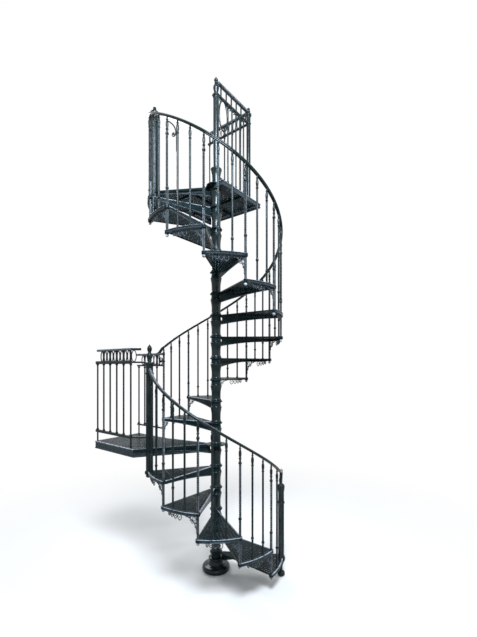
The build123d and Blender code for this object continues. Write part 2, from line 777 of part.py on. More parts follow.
# Newels on the curve
start_azimuth = FIRST_NOSING - START_SET_BACK
start_top = FIRST_RISE + rail_above(START_SET_BACK) + CAPITAL_ABOVE_RAIL
landing_azimuth = MIDDLE_NOSING - POST_TURN
landing_turn = LOWER_TREADS * PITCH + POST_TURN
end_azimuth = TOP_NOSING - POST_TURN
end_turn = UPPER_TREADS * PITCH + POST_TURN
newel_foot = RISER + EDGE_DEPTH + 2 * NUT_RADIUS
landing_capital = FIRST_RISE + rail_above(landing_turn) + CAPITAL_ABOVE_RAIL
end_capital = step_height(MIDDLE_STEP + 1) + rail_above(end_turn) + CAPITAL_ABOVE_RAIL
landing_foot = MIDDLE_TOP - newel_foot
end_foot = TOP_TOP - newel_foot
save("start_newel", make_start_newel(start_top).part.moved(at_post(start_azimuth)))
newel = LANDING_NEWEL_RADIUS
landing_newel = make_newel(newel, landing_capital - landing_foot, CAPITAL_RADIUS, FINIAL_HEIGHT)
save("landing_newel", landing_newel.part.moved(at_post(landing_azimuth, landing_foot)))
end_newel = make_newel(newel, end_capital - end_foot, CAPITAL_RADIUS, FINIAL_HEIGHT)
save("upper_end_newel", end_newel.part.moved(at_post(end_azimuth, end_foot)))

# Handrails
start_post = polar(POST_RADIUS, start_azimuth)
landing_post = polar(POST_RADIUS, landing_azimuth)
end_post = polar(POST_RADIUS, end_azimuth)
side_post = polar(POST_RADIUS, UPPER_NOSING - POST_TURN)
landing_top = landing_capital + CAPITAL_HEIGHT + FINIAL_HEIGHT
landing_cuts = newel_cuts(landing_post, newel, landing_foot, landing_capital, CAPITAL_RADIUS, landing_top)
start_cuts = [
    (start_post, across(NEWEL_RADIUS, NEWEL_SIDES) + SEAT_GAP, 0, start_top),
    (start_post, across(START_NEWEL_CAP, NEWEL_SIDES) + SEAT_GAP, start_top, start_top + CAPITAL_HEIGHT),
]
lower_rail = make_handrail(1, START_SET_BACK, landing_turn, start_cuts + landing_cuts)
save("lower_handrail", lower_rail.part)
end_top = end_capital + CAPITAL_HEIGHT + FINIAL_HEIGHT
end_cuts = newel_cuts(end_post, newel, end_foot, end_capital, CAPITAL_RADIUS, end_top)
upper_rail = make_handrail(MIDDLE_STEP + 1, POST_TURN, end_turn, end_cuts)
save("upper_handrail", upper_rail.part)

# Middle landing's guards
guard_line = -RIM_RADIUS + LANDING_SIDE_INSET
last_bar = WALL_DISTANCE - GUARD_WALL_GAP - GUARD_BAYS * GUARD_SPACING
straight_end = (guard_line, last_bar - GUARD_BAR / 2)
wall_end = (guard_line, WALL_DISTANCE)
landing_bars = spaced(GUARD_WALL_GAP, WALL_DISTANCE - last_bar, GUARD_SPACING)
landing_runs = [(wall_end, straight_end, landing_bars, [], None)]
save("landing_guard", make_guard(landing_runs, MIDDLE_TOP, LANDING_GUARD_HEIGHT, [], ringed=True).part)
return_runs = [((guard_line, last_bar), landing_post, [], [], None)]
with BuildPart() as guard_return:
    add(make_guard(return_runs, MIDDLE_TOP, LANDING_GUARD_HEIGHT, landing_cuts))
    with BuildSketch(level(MIDDLE_TOP)):
        with Locations((guard_line, straight_end[1] - SEAT_GAP)):
            Rectangle(RIM_RADIUS, WALL_DISTANCE, align=(Align.CENTER, Align.MIN))
    extrude(amount=LANDING_GUARD_HEIGHT, mode=Mode.SUBTRACT)
save("landing_guard_return", guard_return.part)
side_end = (side_post[0], WALL_DISTANCE)
side_bars = spaced(GUARD_SPACING, WALL_DISTANCE - side_post[1] - GUARD_WALL_GAP, GUARD_SPACING)
side_cuts = [(side_post, TWISTED_SIDE * 0.75, MIDDLE_TOP, MIDDLE_TOP + SIDE_GUARD_HEIGHT + RAIL_DEPTH)]
side_runs = [(side_post, side_end, side_bars, [], None)]
save("landing_side_guard", make_guard(side_runs, MIDDLE_TOP, SIDE_GUARD_HEIGHT, side_cuts, ringed=True).part)

# Top landing's guards and newels
column_foot = TOP_TOP + HUB_RISE
save("column_newel", make_column_newel().part.moved(Location((0, 0, column_foot))))
corner_x = TOP_DECK_WIDTH - TOP_GUARD_INSET
corner = (corner_x, 0)
corner_capital = TOP_TOP + TOP_GUARD_HEIGHT - GUARD_RAIL_DEPTH - CAPITAL_HEIGHT
corner_newel = make_newel(NEWEL_RADIUS, corner_capital - TOP_TOP, START_NEWEL_CAP, SMALL_FINIAL_HEIGHT)
save("corner_newel", corner_newel.part.moved(Location((*corner, TOP_TOP))))
corner_top = corner_capital + FINIAL_HEIGHT
corner_cuts = newel_cuts(corner, NEWEL_RADIUS, TOP_TOP, corner_capital, START_NEWEL_CAP, corner_top)
column_sleeve_top = column_foot + COLUMN_NEWEL_SLEEVE + SLEEVE_BAND
column_ring_bottom = column_foot + COLUMN_NEWEL_RING - SLEEVE_BAND
axis = (0, 0)
column_ring = across(COLUMN_RING_RADIUS, COLUMN_SIDES) + SEAT_GAP
column_cuts = [
    (axis, across(SLEEVE_SHOULDER, COLUMN_SIDES) + SEAT_GAP, TOP_TOP, column_sleeve_top),
    (axis, across(NEWEL_RADIUS, COLUMN_SIDES) + SEAT_GAP, column_sleeve_top, column_ring_bottom),
    (axis, column_ring, column_ring_bottom, TOP_TOP + TOP_GUARD_HEIGHT),
]
hoop_place = NEWEL_RADIUS + HOOP_WIDTH / 2 + GUARD_BAR
first_bar = hoop_place + HOOP_WIDTH / 2 + GUARD_BAR / 2 - HOOP_BAND / 2
front_bars = spaced(first_bar, corner_x - TOP_GUARD_SPACING, TOP_GUARD_SPACING)
front_runs = [((0, 0), corner, front_bars, [hoop_place], hoop_place)]
save("top_front_guard", make_guard(front_runs, TOP_TOP, TOP_GUARD_HEIGHT, column_cuts + corner_cuts).part)
side_places = spaced(GUARD_SPACING, BALCONY_DISTANCE - GUARD_WALL_GAP, GUARD_SPACING)
top_side_runs = [(corner, (corner_x, BALCONY_DISTANCE), side_places, [], None)]
save("top_side_guard", make_guard(top_side_runs, TOP_TOP, TOP_GUARD_HEIGHT, corner_cuts, ringed=True).part)
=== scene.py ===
"""Looks of a cast iron spiral staircase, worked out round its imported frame.

Lengths are in metres. Tables of profiles are in millimetres and go through mm() or over().
Azimuths are in degrees, seen from above, from +X, and the stair climbs clockwise, so they go
down. Each sub-assembly is a class that holds its sizes, builds its meshes as whole numpy
arrays and dresses them.
"""

from __future__ import annotations

import json
import logging
from collections.abc import Callable, Iterable, Sequence
from dataclasses import dataclass, field
from enum import Enum
from math import atan, cos, hypot, radians, tan

import bpy
import numpy as np
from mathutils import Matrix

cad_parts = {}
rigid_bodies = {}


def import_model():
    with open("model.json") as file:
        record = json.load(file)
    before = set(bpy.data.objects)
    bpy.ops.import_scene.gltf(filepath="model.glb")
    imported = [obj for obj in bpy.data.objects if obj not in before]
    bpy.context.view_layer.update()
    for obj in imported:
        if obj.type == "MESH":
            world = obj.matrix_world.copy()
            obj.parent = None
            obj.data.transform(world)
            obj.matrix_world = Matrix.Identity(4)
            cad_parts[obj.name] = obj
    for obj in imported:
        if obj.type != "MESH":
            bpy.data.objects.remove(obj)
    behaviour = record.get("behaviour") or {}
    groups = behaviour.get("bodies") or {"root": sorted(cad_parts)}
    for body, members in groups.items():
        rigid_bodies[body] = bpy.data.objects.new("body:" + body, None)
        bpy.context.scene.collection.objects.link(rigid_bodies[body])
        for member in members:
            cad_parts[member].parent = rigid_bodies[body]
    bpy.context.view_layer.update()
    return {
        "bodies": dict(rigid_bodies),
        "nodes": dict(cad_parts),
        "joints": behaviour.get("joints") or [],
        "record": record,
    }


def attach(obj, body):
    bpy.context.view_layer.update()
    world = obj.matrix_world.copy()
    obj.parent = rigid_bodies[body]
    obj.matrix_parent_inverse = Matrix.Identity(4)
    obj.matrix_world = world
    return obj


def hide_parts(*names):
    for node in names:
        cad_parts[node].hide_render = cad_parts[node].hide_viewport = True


Array = np.ndarray
Pair = tuple[float, float]
Triple = tuple[float, float, float]
Numbers = Sequence[float]
Points = Sequence[Numbers]
Rule = Callable[[Array, Array], Array]
Socket = bpy.types.NodeSocket
SIDE = (0.0, 1.0, 0.0)  # across a bar that runs along x
UP = (0.0, 0.0, 1.0)
ROUNDING = 0.3  # round edge of a bar, as a share of its thinner side
log = logging.getLogger("spiral_staircase")


# Surfaces


@dataclass(frozen=True)
class Shape:
    """Closed surface: its points, its faces grouped by corners, and each point's share of rubbed
    paint and painted highlight.
    """

    points: Array
    faces: tuple[Array, ...]
    # share of the pale rubbed colour at each point: worn paint and painted highlight
    wear_and_highlight: Array

    @staticmethod
    def made(points: Array, faces: Iterable[Array]) -> Shape:
        """Shape with no wear and no painted highlight, its faces looking outwards."""
        points = np.asarray(points, float).reshape(-1, 3)
        return Shape(points, tuple(faces), np.zeros(len(points))).outward()

    @staticmethod
    def joined(parts: Iterable[Shape]) -> Shape:
        """One shape that holds all the parts."""
        parts = list(parts)
        starts = np.cumsum([0] + [len(part.points) for part in parts])
        faces = [face + start for part, start in zip(parts, starts) for face in part.faces]
        points = np.concatenate([part.points for part in parts])
        return Shape(points, tuple(faces), np.concatenate([part.wear_and_highlight for part in parts]))

    def outward(self) -> Shape:
        """The shape with its faces turned outwards.

        Six times the volume is the sum over fan triangles of a times the
        cross product of b and c, and it is negative when they look inwards.
        """
        volume = 0.0
        for face in self.faces:
            corners = self.points[face]
            cross = np.cross(corners[:, 1:-1], corners[:, 2:])
            volume += float(np.einsum("ik,ijk->", corners[:, 0], cross))
        if volume >= 0:
            return self
        return Shape(self.points, tuple(face[:, ::-1] for face in self.faces), self.wear_and_highlight)

    def worn_and_highlit(self, amount: Array | float) -> Shape:
        """The shape with its wear and painted highlight set, all over or point by point."""
        return Shape(self.points, self.faces, np.broadcast_to(amount, len(self.points)))

    def mapped(self, rule: Callable[[Array], Array]) -> Shape:
        """The shape with a rule applied to all its points."""
        return Shape(rule(self.points), self.faces, self.wear_and_highlight).outward()

    def moved(self, azimuth: float = 0.0, height: float = 0.0, radius: float = 0.0) -> Shape:
        """The shape moved out along x, turned about the column's axis and lifted."""
        turn = radians(azimuth)
        x, y, z = self.points[:, 0] + radius, self.points[:, 1], self.points[:, 2]
        plan = (x * np.cos(turn) - y * np.sin(turn), x * np.sin(turn) + y * np.cos(turn))
        return Shape(np.stack([*plan, z + height], axis=1), self.faces, self.wear_and_highlight)

    def at(self, x: float, y: float, z: float = 0.0) -> Shape:
        """The shape moved by a step."""
        return Shape(self.points + (x, y, z), self.faces, self.wear_and_highlight)

    def upright(self, start: Numbers, end: Numbers, base: float) -> Shape:
        """A flat shape, x along, y up and z out, stood on the line from start towards end."""
        run = np.array([end[0] - start[0], end[1] - start[1], 0.0])
        along = run / hypot(run[0], run[1])
        frame = np.stack([along, UP, (along[1], -along[0], 0.0)])
        return self.mapped(lambda points: np.array([start[0], start[1], base]) + points @ frame)

    def on_rim(self, azimuth: float, height: float, radius: float) -> Shape:
        """A flat shape bent clockwise round the column: x over the radius is its turn."""

        def bend(points: Array) -> Array:
            turn = np.radians(azimuth) - points[:, 0] / radius
            reach = radius + points[:, 2]
            return np.stack([reach * np.cos(turn), reach * np.sin(turn), points[:, 1] + height], 1)

        return self.mapped(bend)

    def welded(self) -> Shape:
        """The shape with points that share a place made one, and loose points dropped."""
        used = np.unique(np.concatenate([face.ravel() for face in self.faces]))
        places = np.round(self.points[used], 6)
        _, first, inverse = np.unique(places, axis=0, return_index=True, return_inverse=True)
        lookup = np.zeros(len(self.points), int)
        lookup[used] = inverse.ravel()
        faces = tuple(lookup[face] for face in self.faces)
        return Shape(self.points[used][first], faces, self.wear_and_highlight[used][first])


def mm(*rows: Numbers) -> Array:
    """Table in metres of rows in millimetres."""
    return np.array(rows, float) / 1000


def over(width: float, height: float, rows: Points) -> Array:
    """Profile of rows of a share of a width and millimetres over a height."""
    return np.array(rows, float) * (width, 0.001) + (0.0, height)


def unit(azimuth: Array | float) -> Array:
    """Level unit vectors at azimuths in degrees: cosine, sine and nought."""
    turn = np.radians(np.asarray(azimuth, float))
    return np.stack([np.cos(turn), np.sin(turn), np.zeros_like(turn)], axis=-1)


def polar(radius: float, azimuth: float) -> Pair:
    """Plan point at a radius and an azimuth."""
    x, y, _ = radius * unit(azimuth)
    return float(x), float(y)


def flow(points: Points, steps: int = 4) -> Array:
    """Smooth line through points.

    Between two points b and c with neighbours a and d, the place at t is half
    of 2b + (c - a)t + (2a - 5b + 4c - d)t squared + (3b - a - 3c + d)t cubed.

    Args:
        points: places that the line passes through.
        steps: stretches between two of them.

    Returns:
        The line's points, the given ones included.
    """
    given = np.asarray(points, float)
    padded = np.concatenate([given[:1], given, given[-1:]])[:, None]
    a, b, c, d = padded[:-3], padded[1:-2], padded[2:-1], padded[3:]
    t = (np.arange(steps) / steps)[None, :, None]
    bent = (2 * a - 5 * b + 4 * c - d) * t**2 + (3 * b - a - 3 * c + d) * t**3
    line = 0.5 * (2 * b + (c - a) * t + bent)
    return np.concatenate([line.reshape(-1, given.shape[1]), given[-1:]])


def tube(rings: Array, closed: bool = False) -> Shape:
    """Surface over a stack of rings, capped at both ends or joined in a loop.

    Args:
        rings: points, stations by corners by three.
        closed: whether the last ring meets the first.

    Returns:
        The closed surface.
    """
    index = np.arange(rings.shape[0] * rings.shape[1]).reshape(rings.shape[:2])
    beside = np.roll(index, -1, axis=1)
    quads = np.stack([index, beside, np.roll(beside, -1, 0), np.roll(index, -1, 0)], axis=-1)
    if closed:
        return Shape.made(rings, [quads.reshape(-1, 4)])
    return Shape.made(rings, [quads[:-1].reshape(-1, 4), index[:1, ::-1], index[-1:]])


def sweep(path: Array, across: Points, up: Points, section: Array, closed: bool = False) -> Shape:
    """Section carried along a path: each point is path + x times across + y times up."""
    section = np.broadcast_to(section, (len(path), *section.shape[-2:]))
    across, up = (np.broadcast_to(way, path.shape)[:, None] for way in (across, up))
    return tube(path[:, None] + section[..., :1] * across + section[..., 1:] * up, closed)


def turned(profile: Points, sides: int = 24) -> Shape:
    """Profile of radii and heights turned about the upright axis, its ends capped."""
    profile = np.asarray(profile, float)
    rings = profile[:, None, :1] * unit(np.arange(sides) * 360 / sides)[None]
    rings[..., 2] = profile[:, 1:]
    return tube(rings)


def bored(profile: Array, bore: float, sides: int = 32) -> Shape:
    """Profile turned about the upright axis with a bore through it: a ring of a section."""
    section = np.concatenate([profile, [(bore, profile[-1, 1]), (bore, profile[0, 1])]])
    rings = section[None, :, :1] * unit(np.arange(sides) * 360 / sides)[:, None]
    rings[..., 2] = section[None, :, 1]
    return tube(rings, closed=True)


def bead(foot: float, shoulder: float, crown: float, reach: float, step: float,
         height: float = 0.0) -> Array:
    """Rounded bead's profile, the same above and below its height, in millimetres but for that.

    Args:
        foot: radius at its two ends.
        shoulder: radius between an end and the crown.
        crown: radius at its height.
        reach: upright distance from the crown to an end.
        step: upright distance from the crown to a shoulder.
        height: its place, in metres.

    Returns:
        The profile, smoothed.
    """
    rows = ((foot, -reach), (shoulder, -step), (crown, 0), (shoulder, step), (foot, reach))
    return flow(mm(*rows) + (0.0, height), 2)


def rounded(width: float, depth: float, corner: float, steps: int = 2) -> Array:
    """Rectangle section with round corners: a quarter circle about each corner's centre."""
    corners = []
    for turn, x, y in ((0, 1, 1), (90, -1, 1), (180, -1, -1), (270, 1, -1)):
        arc = unit(np.linspace(0, 90, steps + 1) + turn)[:, :2] * corner
        corners.append(arc + (x * (width / 2 - corner), y * (depth / 2 - corner)))
    return np.concatenate(corners)


def strip(line: Points, width: float, depth: float, taper: Array | float = 1.0,
          closed: bool = False) -> Shape:
    """Bar of a round edged section bent along a flat line, thick across it and deep out of it.

    Args:
        line: the flat line's points.
        width: thickness in the line's own plane.
        depth: thickness out of that plane.
        taper: share of the width at each point.
        closed: whether the line is a loop.

    Returns:
        The bent bar.
    """
    line = np.asarray(line, float)
    ahead = np.roll(line, -1, 0) - np.roll(line, 1, 0) if closed else np.gradient(line, axis=0)
    ahead = ahead / np.linalg.norm(ahead, axis=1, keepdims=True)
    flat = np.zeros(len(line))
    across = np.column_stack([-ahead[:, 1], ahead[:, 0], flat])
    scale = np.column_stack([flat + taper, flat + 1])
    section = rounded(width, depth, min(width, depth) * ROUNDING, 1) * scale[:, None]
    return sweep(np.column_stack([line, flat]), across, UP, section, closed)


def oval(x: float, y: float, wide: float, high: float, points: int = 24) -> Array:
    """Loop round a centre: half the width times cosine, half the height times sine."""
    turn = np.arange(points) * 2 * np.pi / points
    return np.stack([x + wide / 2 * np.cos(turn), y + high / 2 * np.sin(turn)], axis=1)


def ring(line: Array, width: float, depth: float) -> Shape:
    """Bar bent round a loop."""
    return strip(line, width, depth, closed=True)


def scroll(x: float, y: float, radii: Numbers, turns: Numbers, width: float,
           depth: float, points: int = 22, tip: float = 1.0) -> Shape:
    """Bar bent in a spiral: its radius and its share of the width go evenly with its turn.

    Args:
        x: centre along.
        y: centre up.
        radii: first and last radius.
        turns: first and last turn in degrees.
        width: thickness in the spiral's plane.
        depth: thickness out of that plane.
        points: stations along it.
        tip: share of the width at its last point.

    Returns:
        The scroll.
    """
    share = np.linspace(0, 1, points)
    turn = np.radians(turns[0] + (turns[1] - turns[0]) * share)
    radius = radii[0] + (radii[1] - radii[0]) * share
    line = np.stack([x + radius * np.cos(turn), y + radius * np.sin(turn)], axis=1)
    return strip(line, width, depth, np.linspace(1, tip, points))


def ball(radius: float, x: float = 0.0, y: float = 0.0, z: float = 0.0, sides: int = 12) -> Shape:
    """Ball: its profile is a half circle with the poles left as tiny caps."""
    turn = np.radians(np.linspace(-86, 86, 9))
    profile = radius * np.stack([np.cos(turn), np.sin(turn)], axis=1)
    return turned(profile, sides).at(x, y, z)


def strap(rule: Rule, stations: int, section: Points) -> Shape:
    """Bar across a mapped plate: a section point is a share for the rule and a height."""
    corners = np.asarray(section, float)
    u, v = np.meshgrid(np.linspace(0, 1, stations), corners[:, 0], indexing="ij")
    height = np.broadcast_to(corners[:, 1], u.shape)[..., None]
    return tube(np.concatenate([rule(u, v), height], axis=-1))


@dataclass(frozen=True)
class Piercing:
    """Fine pattern of a cast plate: round and four lobed holes by turns, with raised lips.

    A cell's rings are its edge, the lip's foot, the lip's crown, the hole's
    wall at its foot and the edge again. Their heights are in that order.
    """

    thickness: float = 0.008
    lip: float = 0.0009
    opening: float = 0.60
    lobe: float = 0.13
    counter_lobe: float = -0.078
    flare: tuple[float, ...] = (1.24, 1.04, 1.02)
    corners: int = 12
    first_corner: float = 15.0

    def plate(self, rule: Rule, columns: int, rows: int, kinds: Array | None = None) -> Shape:
        """Plate of square cells that share their edges.

        A cell's edge is a direction over the larger of its cosine and sine. A
        hole's radius is the opening plus the lobe times the cosine of four
        turns, and the lobe changes its sign from cell to cell.

        Args:
            rule: plan point for two shares along the plate.
            columns: cells along the first share.
            rows: cells along the second one.
            kinds: 0 for no cell, 1 for a plain one and 2 for a pierced one, row by row.

        Returns:
            The plate, its top at height nought.
        """
        kinds = np.full(rows * columns, 2) if kinds is None else np.asarray(kinds).ravel()
        azimuths = self.first_corner + 360 / self.corners * np.arange(self.corners)
        ray = unit(azimuths)[:, :2]
        edge = ray / np.abs(ray).max(axis=-1, keepdims=True)
        row, column = np.divmod(np.arange(rows * columns), columns)
        lobe = np.where((row + column) % 2, self.lobe, self.counter_lobe)[:, None]
        hole = (self.opening + lobe * np.cos(4 * np.radians(azimuths)))[..., None] * ray
        edges = np.broadcast_to(edge, hole.shape)
        rings = np.stack([edges, *(hole * flare for flare in self.flare), edges], axis=1)
        heights = np.array([0.0, self.lip, -self.lip, -self.thickness, -self.thickness])
        u = (column[:, None, None] + 0.5 + rings[..., 0] / 2) / columns
        v = (row[:, None, None] + 0.5 + rings[..., 1] / 2) / rows
        z = np.broadcast_to(heights[None, :, None], u.shape)
        points = np.concatenate([rule(u, v), z[..., None]], axis=-1)
        index = np.arange(u.size).reshape(u.shape)
        after = np.roll(index, -1, axis=2)
        near, far = index[kinds == 2], after[kinds == 2]
        quads = np.stack([near[:, :-1], far[:, :-1], far[:, 1:], near[:, 1:]], axis=-1)
        quads = quads.swapaxes(0, 1).reshape(-1, 4)
        plain = kinds == 1
        padded = np.pad(kinds.reshape(rows, columns), 1)
        beside = np.stack([padded[1:-1, 2:], padded[2:, 1:-1], padded[1:-1, :-2],
                           padded[:-2, 1:-1]], axis=-1).reshape(-1, 4)
        side = np.repeat([0, 1, 2, 3], self.corners // 4)
        open_edge = np.zeros((rows * columns, self.corners), bool)
        open_edge[:, np.roll(np.arange(self.corners), 2)] = beside[:, side] == 0
        open_edge &= (kinds > 0)[:, None]
        walls = np.stack([index[:, 4], after[:, 4], after[:, 0], index[:, 0]], axis=-1)
        faces = [np.concatenate([quads, walls[open_edge]])]
        if plain.any():
            faces += [index[plain, 0], index[plain, 4, ::-1]]
        return Shape(points.reshape(-1, 3), tuple(faces), np.zeros(u.size)).welded().outward()


def patch(corners: Points) -> Rule:
    """Rule of a four cornered plate: its corners weighted by the two shares and their rests."""
    a, b, c, d = (np.asarray(corner, float) for corner in corners)

    def rule(u: Array, v: Array) -> Array:
        u, v = u[..., None], v[..., None]
        return a * (1 - u) * (1 - v) + b * u * (1 - v) + c * u * v + d * (1 - u) * v

    return rule


# Finishes


class Finish(Enum):
    """Material slots of the stair."""

    STEPS = "step_paint"
    COLUMN = "column_paint"
    RAILINGS = "railing_paint"
    RAILS = "rail_paint"


@dataclass(frozen=True)
class Nodes:
    """Shader tree that takes a node with its settings and inputs in one call."""

    tree: bpy.types.NodeTree

    def add(self, kind: str, inputs: dict[int | str, object] | None = None,
            output: int | str = 0, **settings: object) -> Socket:
        """Adds a node, sets or links its inputs and gives one of its outputs."""
        node = self.tree.nodes.new(f"ShaderNode{kind}")
        for name, value in settings.items():
            setattr(node, name, value)
        self.fill(node, inputs or {})
        return node.outputs[output]

    def fill(self, node: bpy.types.Node, inputs: dict[int | str, object]) -> None:
        """Links a node's inputs to sockets, or sets them to numbers or colours."""
        for key, value in inputs.items():
            if isinstance(value, Socket):
                self.tree.links.new(value, node.inputs[key])
            else:
                colour = isinstance(value, tuple)
                node.inputs[key].default_value = (*value, 1.0) if colour else value

    def times(self, value: Socket, factor: float | Socket) -> Socket:
        """Value times a number or another value."""
        return self.add("Math", {0: value, 1: factor}, operation="MULTIPLY")

    def noise(self, place: Socket, scale: float, detail: float, roughness: float) -> Socket:
        """Noise on the piece's own place, as one number."""
        inputs = {"Vector": place, "Scale": scale, "Detail": detail, "Roughness": roughness}
        return self.add("TexNoise", inputs, "Fac")

    def ramp(self, value: Socket, low: float, high: float) -> Socket:
        """Smooth step of a value between two levels."""
        inputs = {"Value": value, "From Min": low, "From Max": high}
        return self.add("MapRange", inputs, "Result", interpolation_type="SMOOTHSTEP")

    def mix(self, share: Socket, first: tuple | Socket, second: tuple | Socket) -> Socket:
        """Colour between two, each a colour or a socket."""
        return self.add("Mix", {0: share, 6: first, 7: second}, 2, data_type="RGBA")

    def bump(self, height: Socket, strength: float, distance: float,
             below: Socket | None = None) -> Socket:
        """Bump of a height, over another normal where one is given."""
        inputs = {"Height": height, "Strength": strength, "Distance": distance}
        if below is not None:
            inputs["Normal"] = below
        return self.add("Bump", inputs, "Normal")


def blank_material(name: str) -> tuple[bpy.types.Material, Nodes, bpy.types.Node]:
    """New material, its shader tree and its shader."""
    material = bpy.data.materials.new(name)
    material.use_nodes = True
    tree = material.node_tree
    return material, Nodes(tree), tree.nodes["Principled BSDF"]


def in_scene(name: str, data: bpy.types.ID) -> bpy.types.Object:
    """New object in the scene."""
    thing = bpy.data.objects.new(name, data)
    bpy.context.scene.collection.objects.link(thing)
    return thing


@dataclass(frozen=True)
class GlossPaint:
    """Old gloss paint on cast iron: near black, flecked, a little rusty, and paler on its edges
    with rubbed paint and painted highlight.
    """

    name: str
    dark: Triple = (0.0035, 0.0068, 0.0064)
    pale: Triple = (0.0100, 0.0160, 0.0165)
    fleck: Triple = (0.055, 0.070, 0.085)
    # pale blue grey of worn paint, also used as painted highlight on top edges, crowns and ridges
    rubbed_and_highlight: Triple = (0.46, 0.51, 0.57)
    rust: Triple = (0.055, 0.024, 0.011)
    gloss: float = 0.16
    dull: float = 0.38
    mottle: float = 7.0
    grain: float = 260.0
    flecks: float = 0.06
    relief: float = 0.10
    rusting: float = 0.74
    rust_edge: float = 0.07
    shine: float = 0.20
    coat: float = 0.08
    coat_gloss: float = 0.09
    sheen: Triple = (0.78, 0.93, 1.0)
    lump_depth: float = 0.0012
    grain_depth: float = 0.00015

    def material(self) -> bpy.types.Material:
        """Node material on Object coordinates.

        The colour goes from dark to pale with slow noise, gets flecks from
        fine noise, goes to the pale rubbed colour, worn paint that also serves as a
        painted highlight, where the per point wear and highlight value times noise is
        high, and to rust in small spots. The roughness and the bump follow their own noise.

        Returns:
            The material.
        """
        material, nodes, shader = blank_material(self.name)
        place = nodes.add("TexCoord", output="Object")
        tone = nodes.noise(place, self.mottle, detail=5.0, roughness=0.55)
        spots = nodes.noise(place, self.mottle * 6, detail=6.0, roughness=0.62)
        grain = nodes.noise(place, self.grain, detail=3.0, roughness=0.6)
        lumps = nodes.noise(place, self.mottle * 5, detail=2.0, roughness=0.5)
        wear_and_highlight = nodes.add("Attribute", output="Fac", attribute_name="wear_and_highlight")
        body = nodes.mix(nodes.ramp(tone, low=0.32, high=0.68), self.dark, self.pale)
        fleck = nodes.times(nodes.ramp(grain, low=0.56, high=0.64), self.flecks)
        flecked = nodes.mix(fleck, body, self.fleck)
        # Pale rubbed colour where the wear and highlight value is high: worn paint and painted
        # highlight.
        rubbing_and_highlight = nodes.times(nodes.ramp(spots, low=0.30, high=0.60), wear_and_highlight)
        worn_and_highlit_edges = nodes.mix(rubbing_and_highlight, flecked, self.rubbed_and_highlight)
        rusty = nodes.ramp(spots, self.rusting, self.rusting + self.rust_edge)
        gloss = {"Value": lumps, "From Min": 0.35, "From Max": 0.65, "To Min": self.gloss,
                 "To Max": self.dull}
        coarse = nodes.bump(lumps, self.relief, self.lump_depth)
        nodes.fill(shader, {
            "Base Color": nodes.mix(rusty, worn_and_highlit_edges, self.rust),
            "Roughness": nodes.add("MapRange", gloss, "Result"),
            "Normal": nodes.bump(grain, self.relief, self.grain_depth, coarse),
            "Metallic": 0.0, "Specular IOR Level": self.shine,
            "Specular Tint": self.sheen, "Coat Weight": self.coat,
            "Coat Roughness": self.coat_gloss,
        })
        return material


# Each paint's pale rubbed colour is worn paint and painted highlight.
PAINTS: dict[Finish, GlossPaint] = {
    Finish.STEPS: GlossPaint(
        "wet worn and highlit step paint", dark=(0.0022, 0.0058, 0.0060), pale=(0.0060, 0.0130, 0.0145),
        fleck=(0.040, 0.072, 0.085), gloss=0.12, dull=0.40, mottle=9.0, relief=0.12,
        flecks=0.18, rusting=0.75, shine=0.10, coat=0.05, sheen=(0.52, 0.88, 1.0),
    ),
    Finish.COLUMN: GlossPaint("column gloss paint", gloss=0.12, dull=0.28, mottle=6.0, coat=0.14),
    Finish.RAILINGS: GlossPaint("railing gloss paint", mottle=8.0, shine=0.15, coat=0.08),
    Finish.RAILS: GlossPaint("hand worn and highlit rail paint", gloss=0.10, dull=0.24, mottle=6.0,
                             rusting=0.80, shine=0.16, coat=0.12),
}


@dataclass(frozen=True)
class WearAndHighlight:
    """How far the paint is rubbed off the places that hands, feet and weather reach, and how much
    painted highlight the pale rubbed colour lays on top edges, crowns and ridges.
    """

    # nosing, rim, skirt and rail values sit on top edges and crowns: worn paint and painted
    # highlight
    nosing: float = 0.85
    rim: float = 0.95
    skirt: float = 0.90
    nut: float = 0.90
    flat: float = 0.05
    openwork: float = 0.15
    # twist: painted highlight specks along the twisted bars' ridges, with some wear
    twist: float = 0.24
    guard_rail: float = 0.20
    rail_crown: float = 0.45
    rail_shoulder: float = 0.15


WEAR_AND_HIGHLIGHT = WearAndHighlight()


@dataclass
class Workshop:
    """Turns shapes into dressed pieces of the stair."""

    materials: dict[Finish, bpy.types.Material] = field(default_factory=dict)

    def finish(self, kind: Finish) -> bpy.types.Material:
        """Material of a finish, made once."""
        if kind not in self.materials:
            self.materials[kind] = PAINTS[kind].material()
        return self.materials[kind]

    def piece(self, node: str, shape: Shape, kind: Finish, sharp: float = 38.0,
              name: str = "") -> None:
        """Makes the mesh piece that stands for a node of the frame.

        Args:
            node: the frame's node that it replaces.
            shape: its surface in the frame's own place.
            kind: its finish.
            sharp: edges bent by more than this many degrees stay sharp.
            name: the piece's name, where it isn't the node's behind "iron_".
        """
        mesh = bpy.data.meshes.new(name or f"iron_{node}")
        totals = np.concatenate([np.full(len(face), face.shape[1]) for face in shape.faces])
        corners = np.concatenate([face.ravel() for face in shape.faces])
        starts = np.concatenate([[0], np.cumsum(totals)[:-1]])
        mesh.vertices.add(len(shape.points))
        mesh.vertices.foreach_set("co", shape.points.astype(np.float32).ravel())
        mesh.loops.add(len(corners))
        mesh.loops.foreach_set("vertex_index", corners.astype(np.int32))
        mesh.polygons.add(len(totals))
        mesh.polygons.foreach_set("loop_start", starts.astype(np.int32))
        mesh.polygons.foreach_set("use_smooth", np.ones(len(totals), bool))
        mesh.update(calc_edges=True)
        mesh.set_sharp_from_angle(angle=radians(sharp))
        # per point share of worn paint and painted highlight, read by the paint's pale rubbed
        # colour
        wear_and_highlight = mesh.attributes.new("wear_and_highlight", "FLOAT", "POINT")
        wear_and_highlight.data.foreach_set("value", shape.wear_and_highlight.astype(np.float32))
        mesh.materials.append(self.finish(kind))
        piece = in_scene(mesh.name, mesh)
        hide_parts(node)
        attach(piece, "root")
        log.info("%s: %d triangles", mesh.name, int((totals - 2).sum()))


# The climb


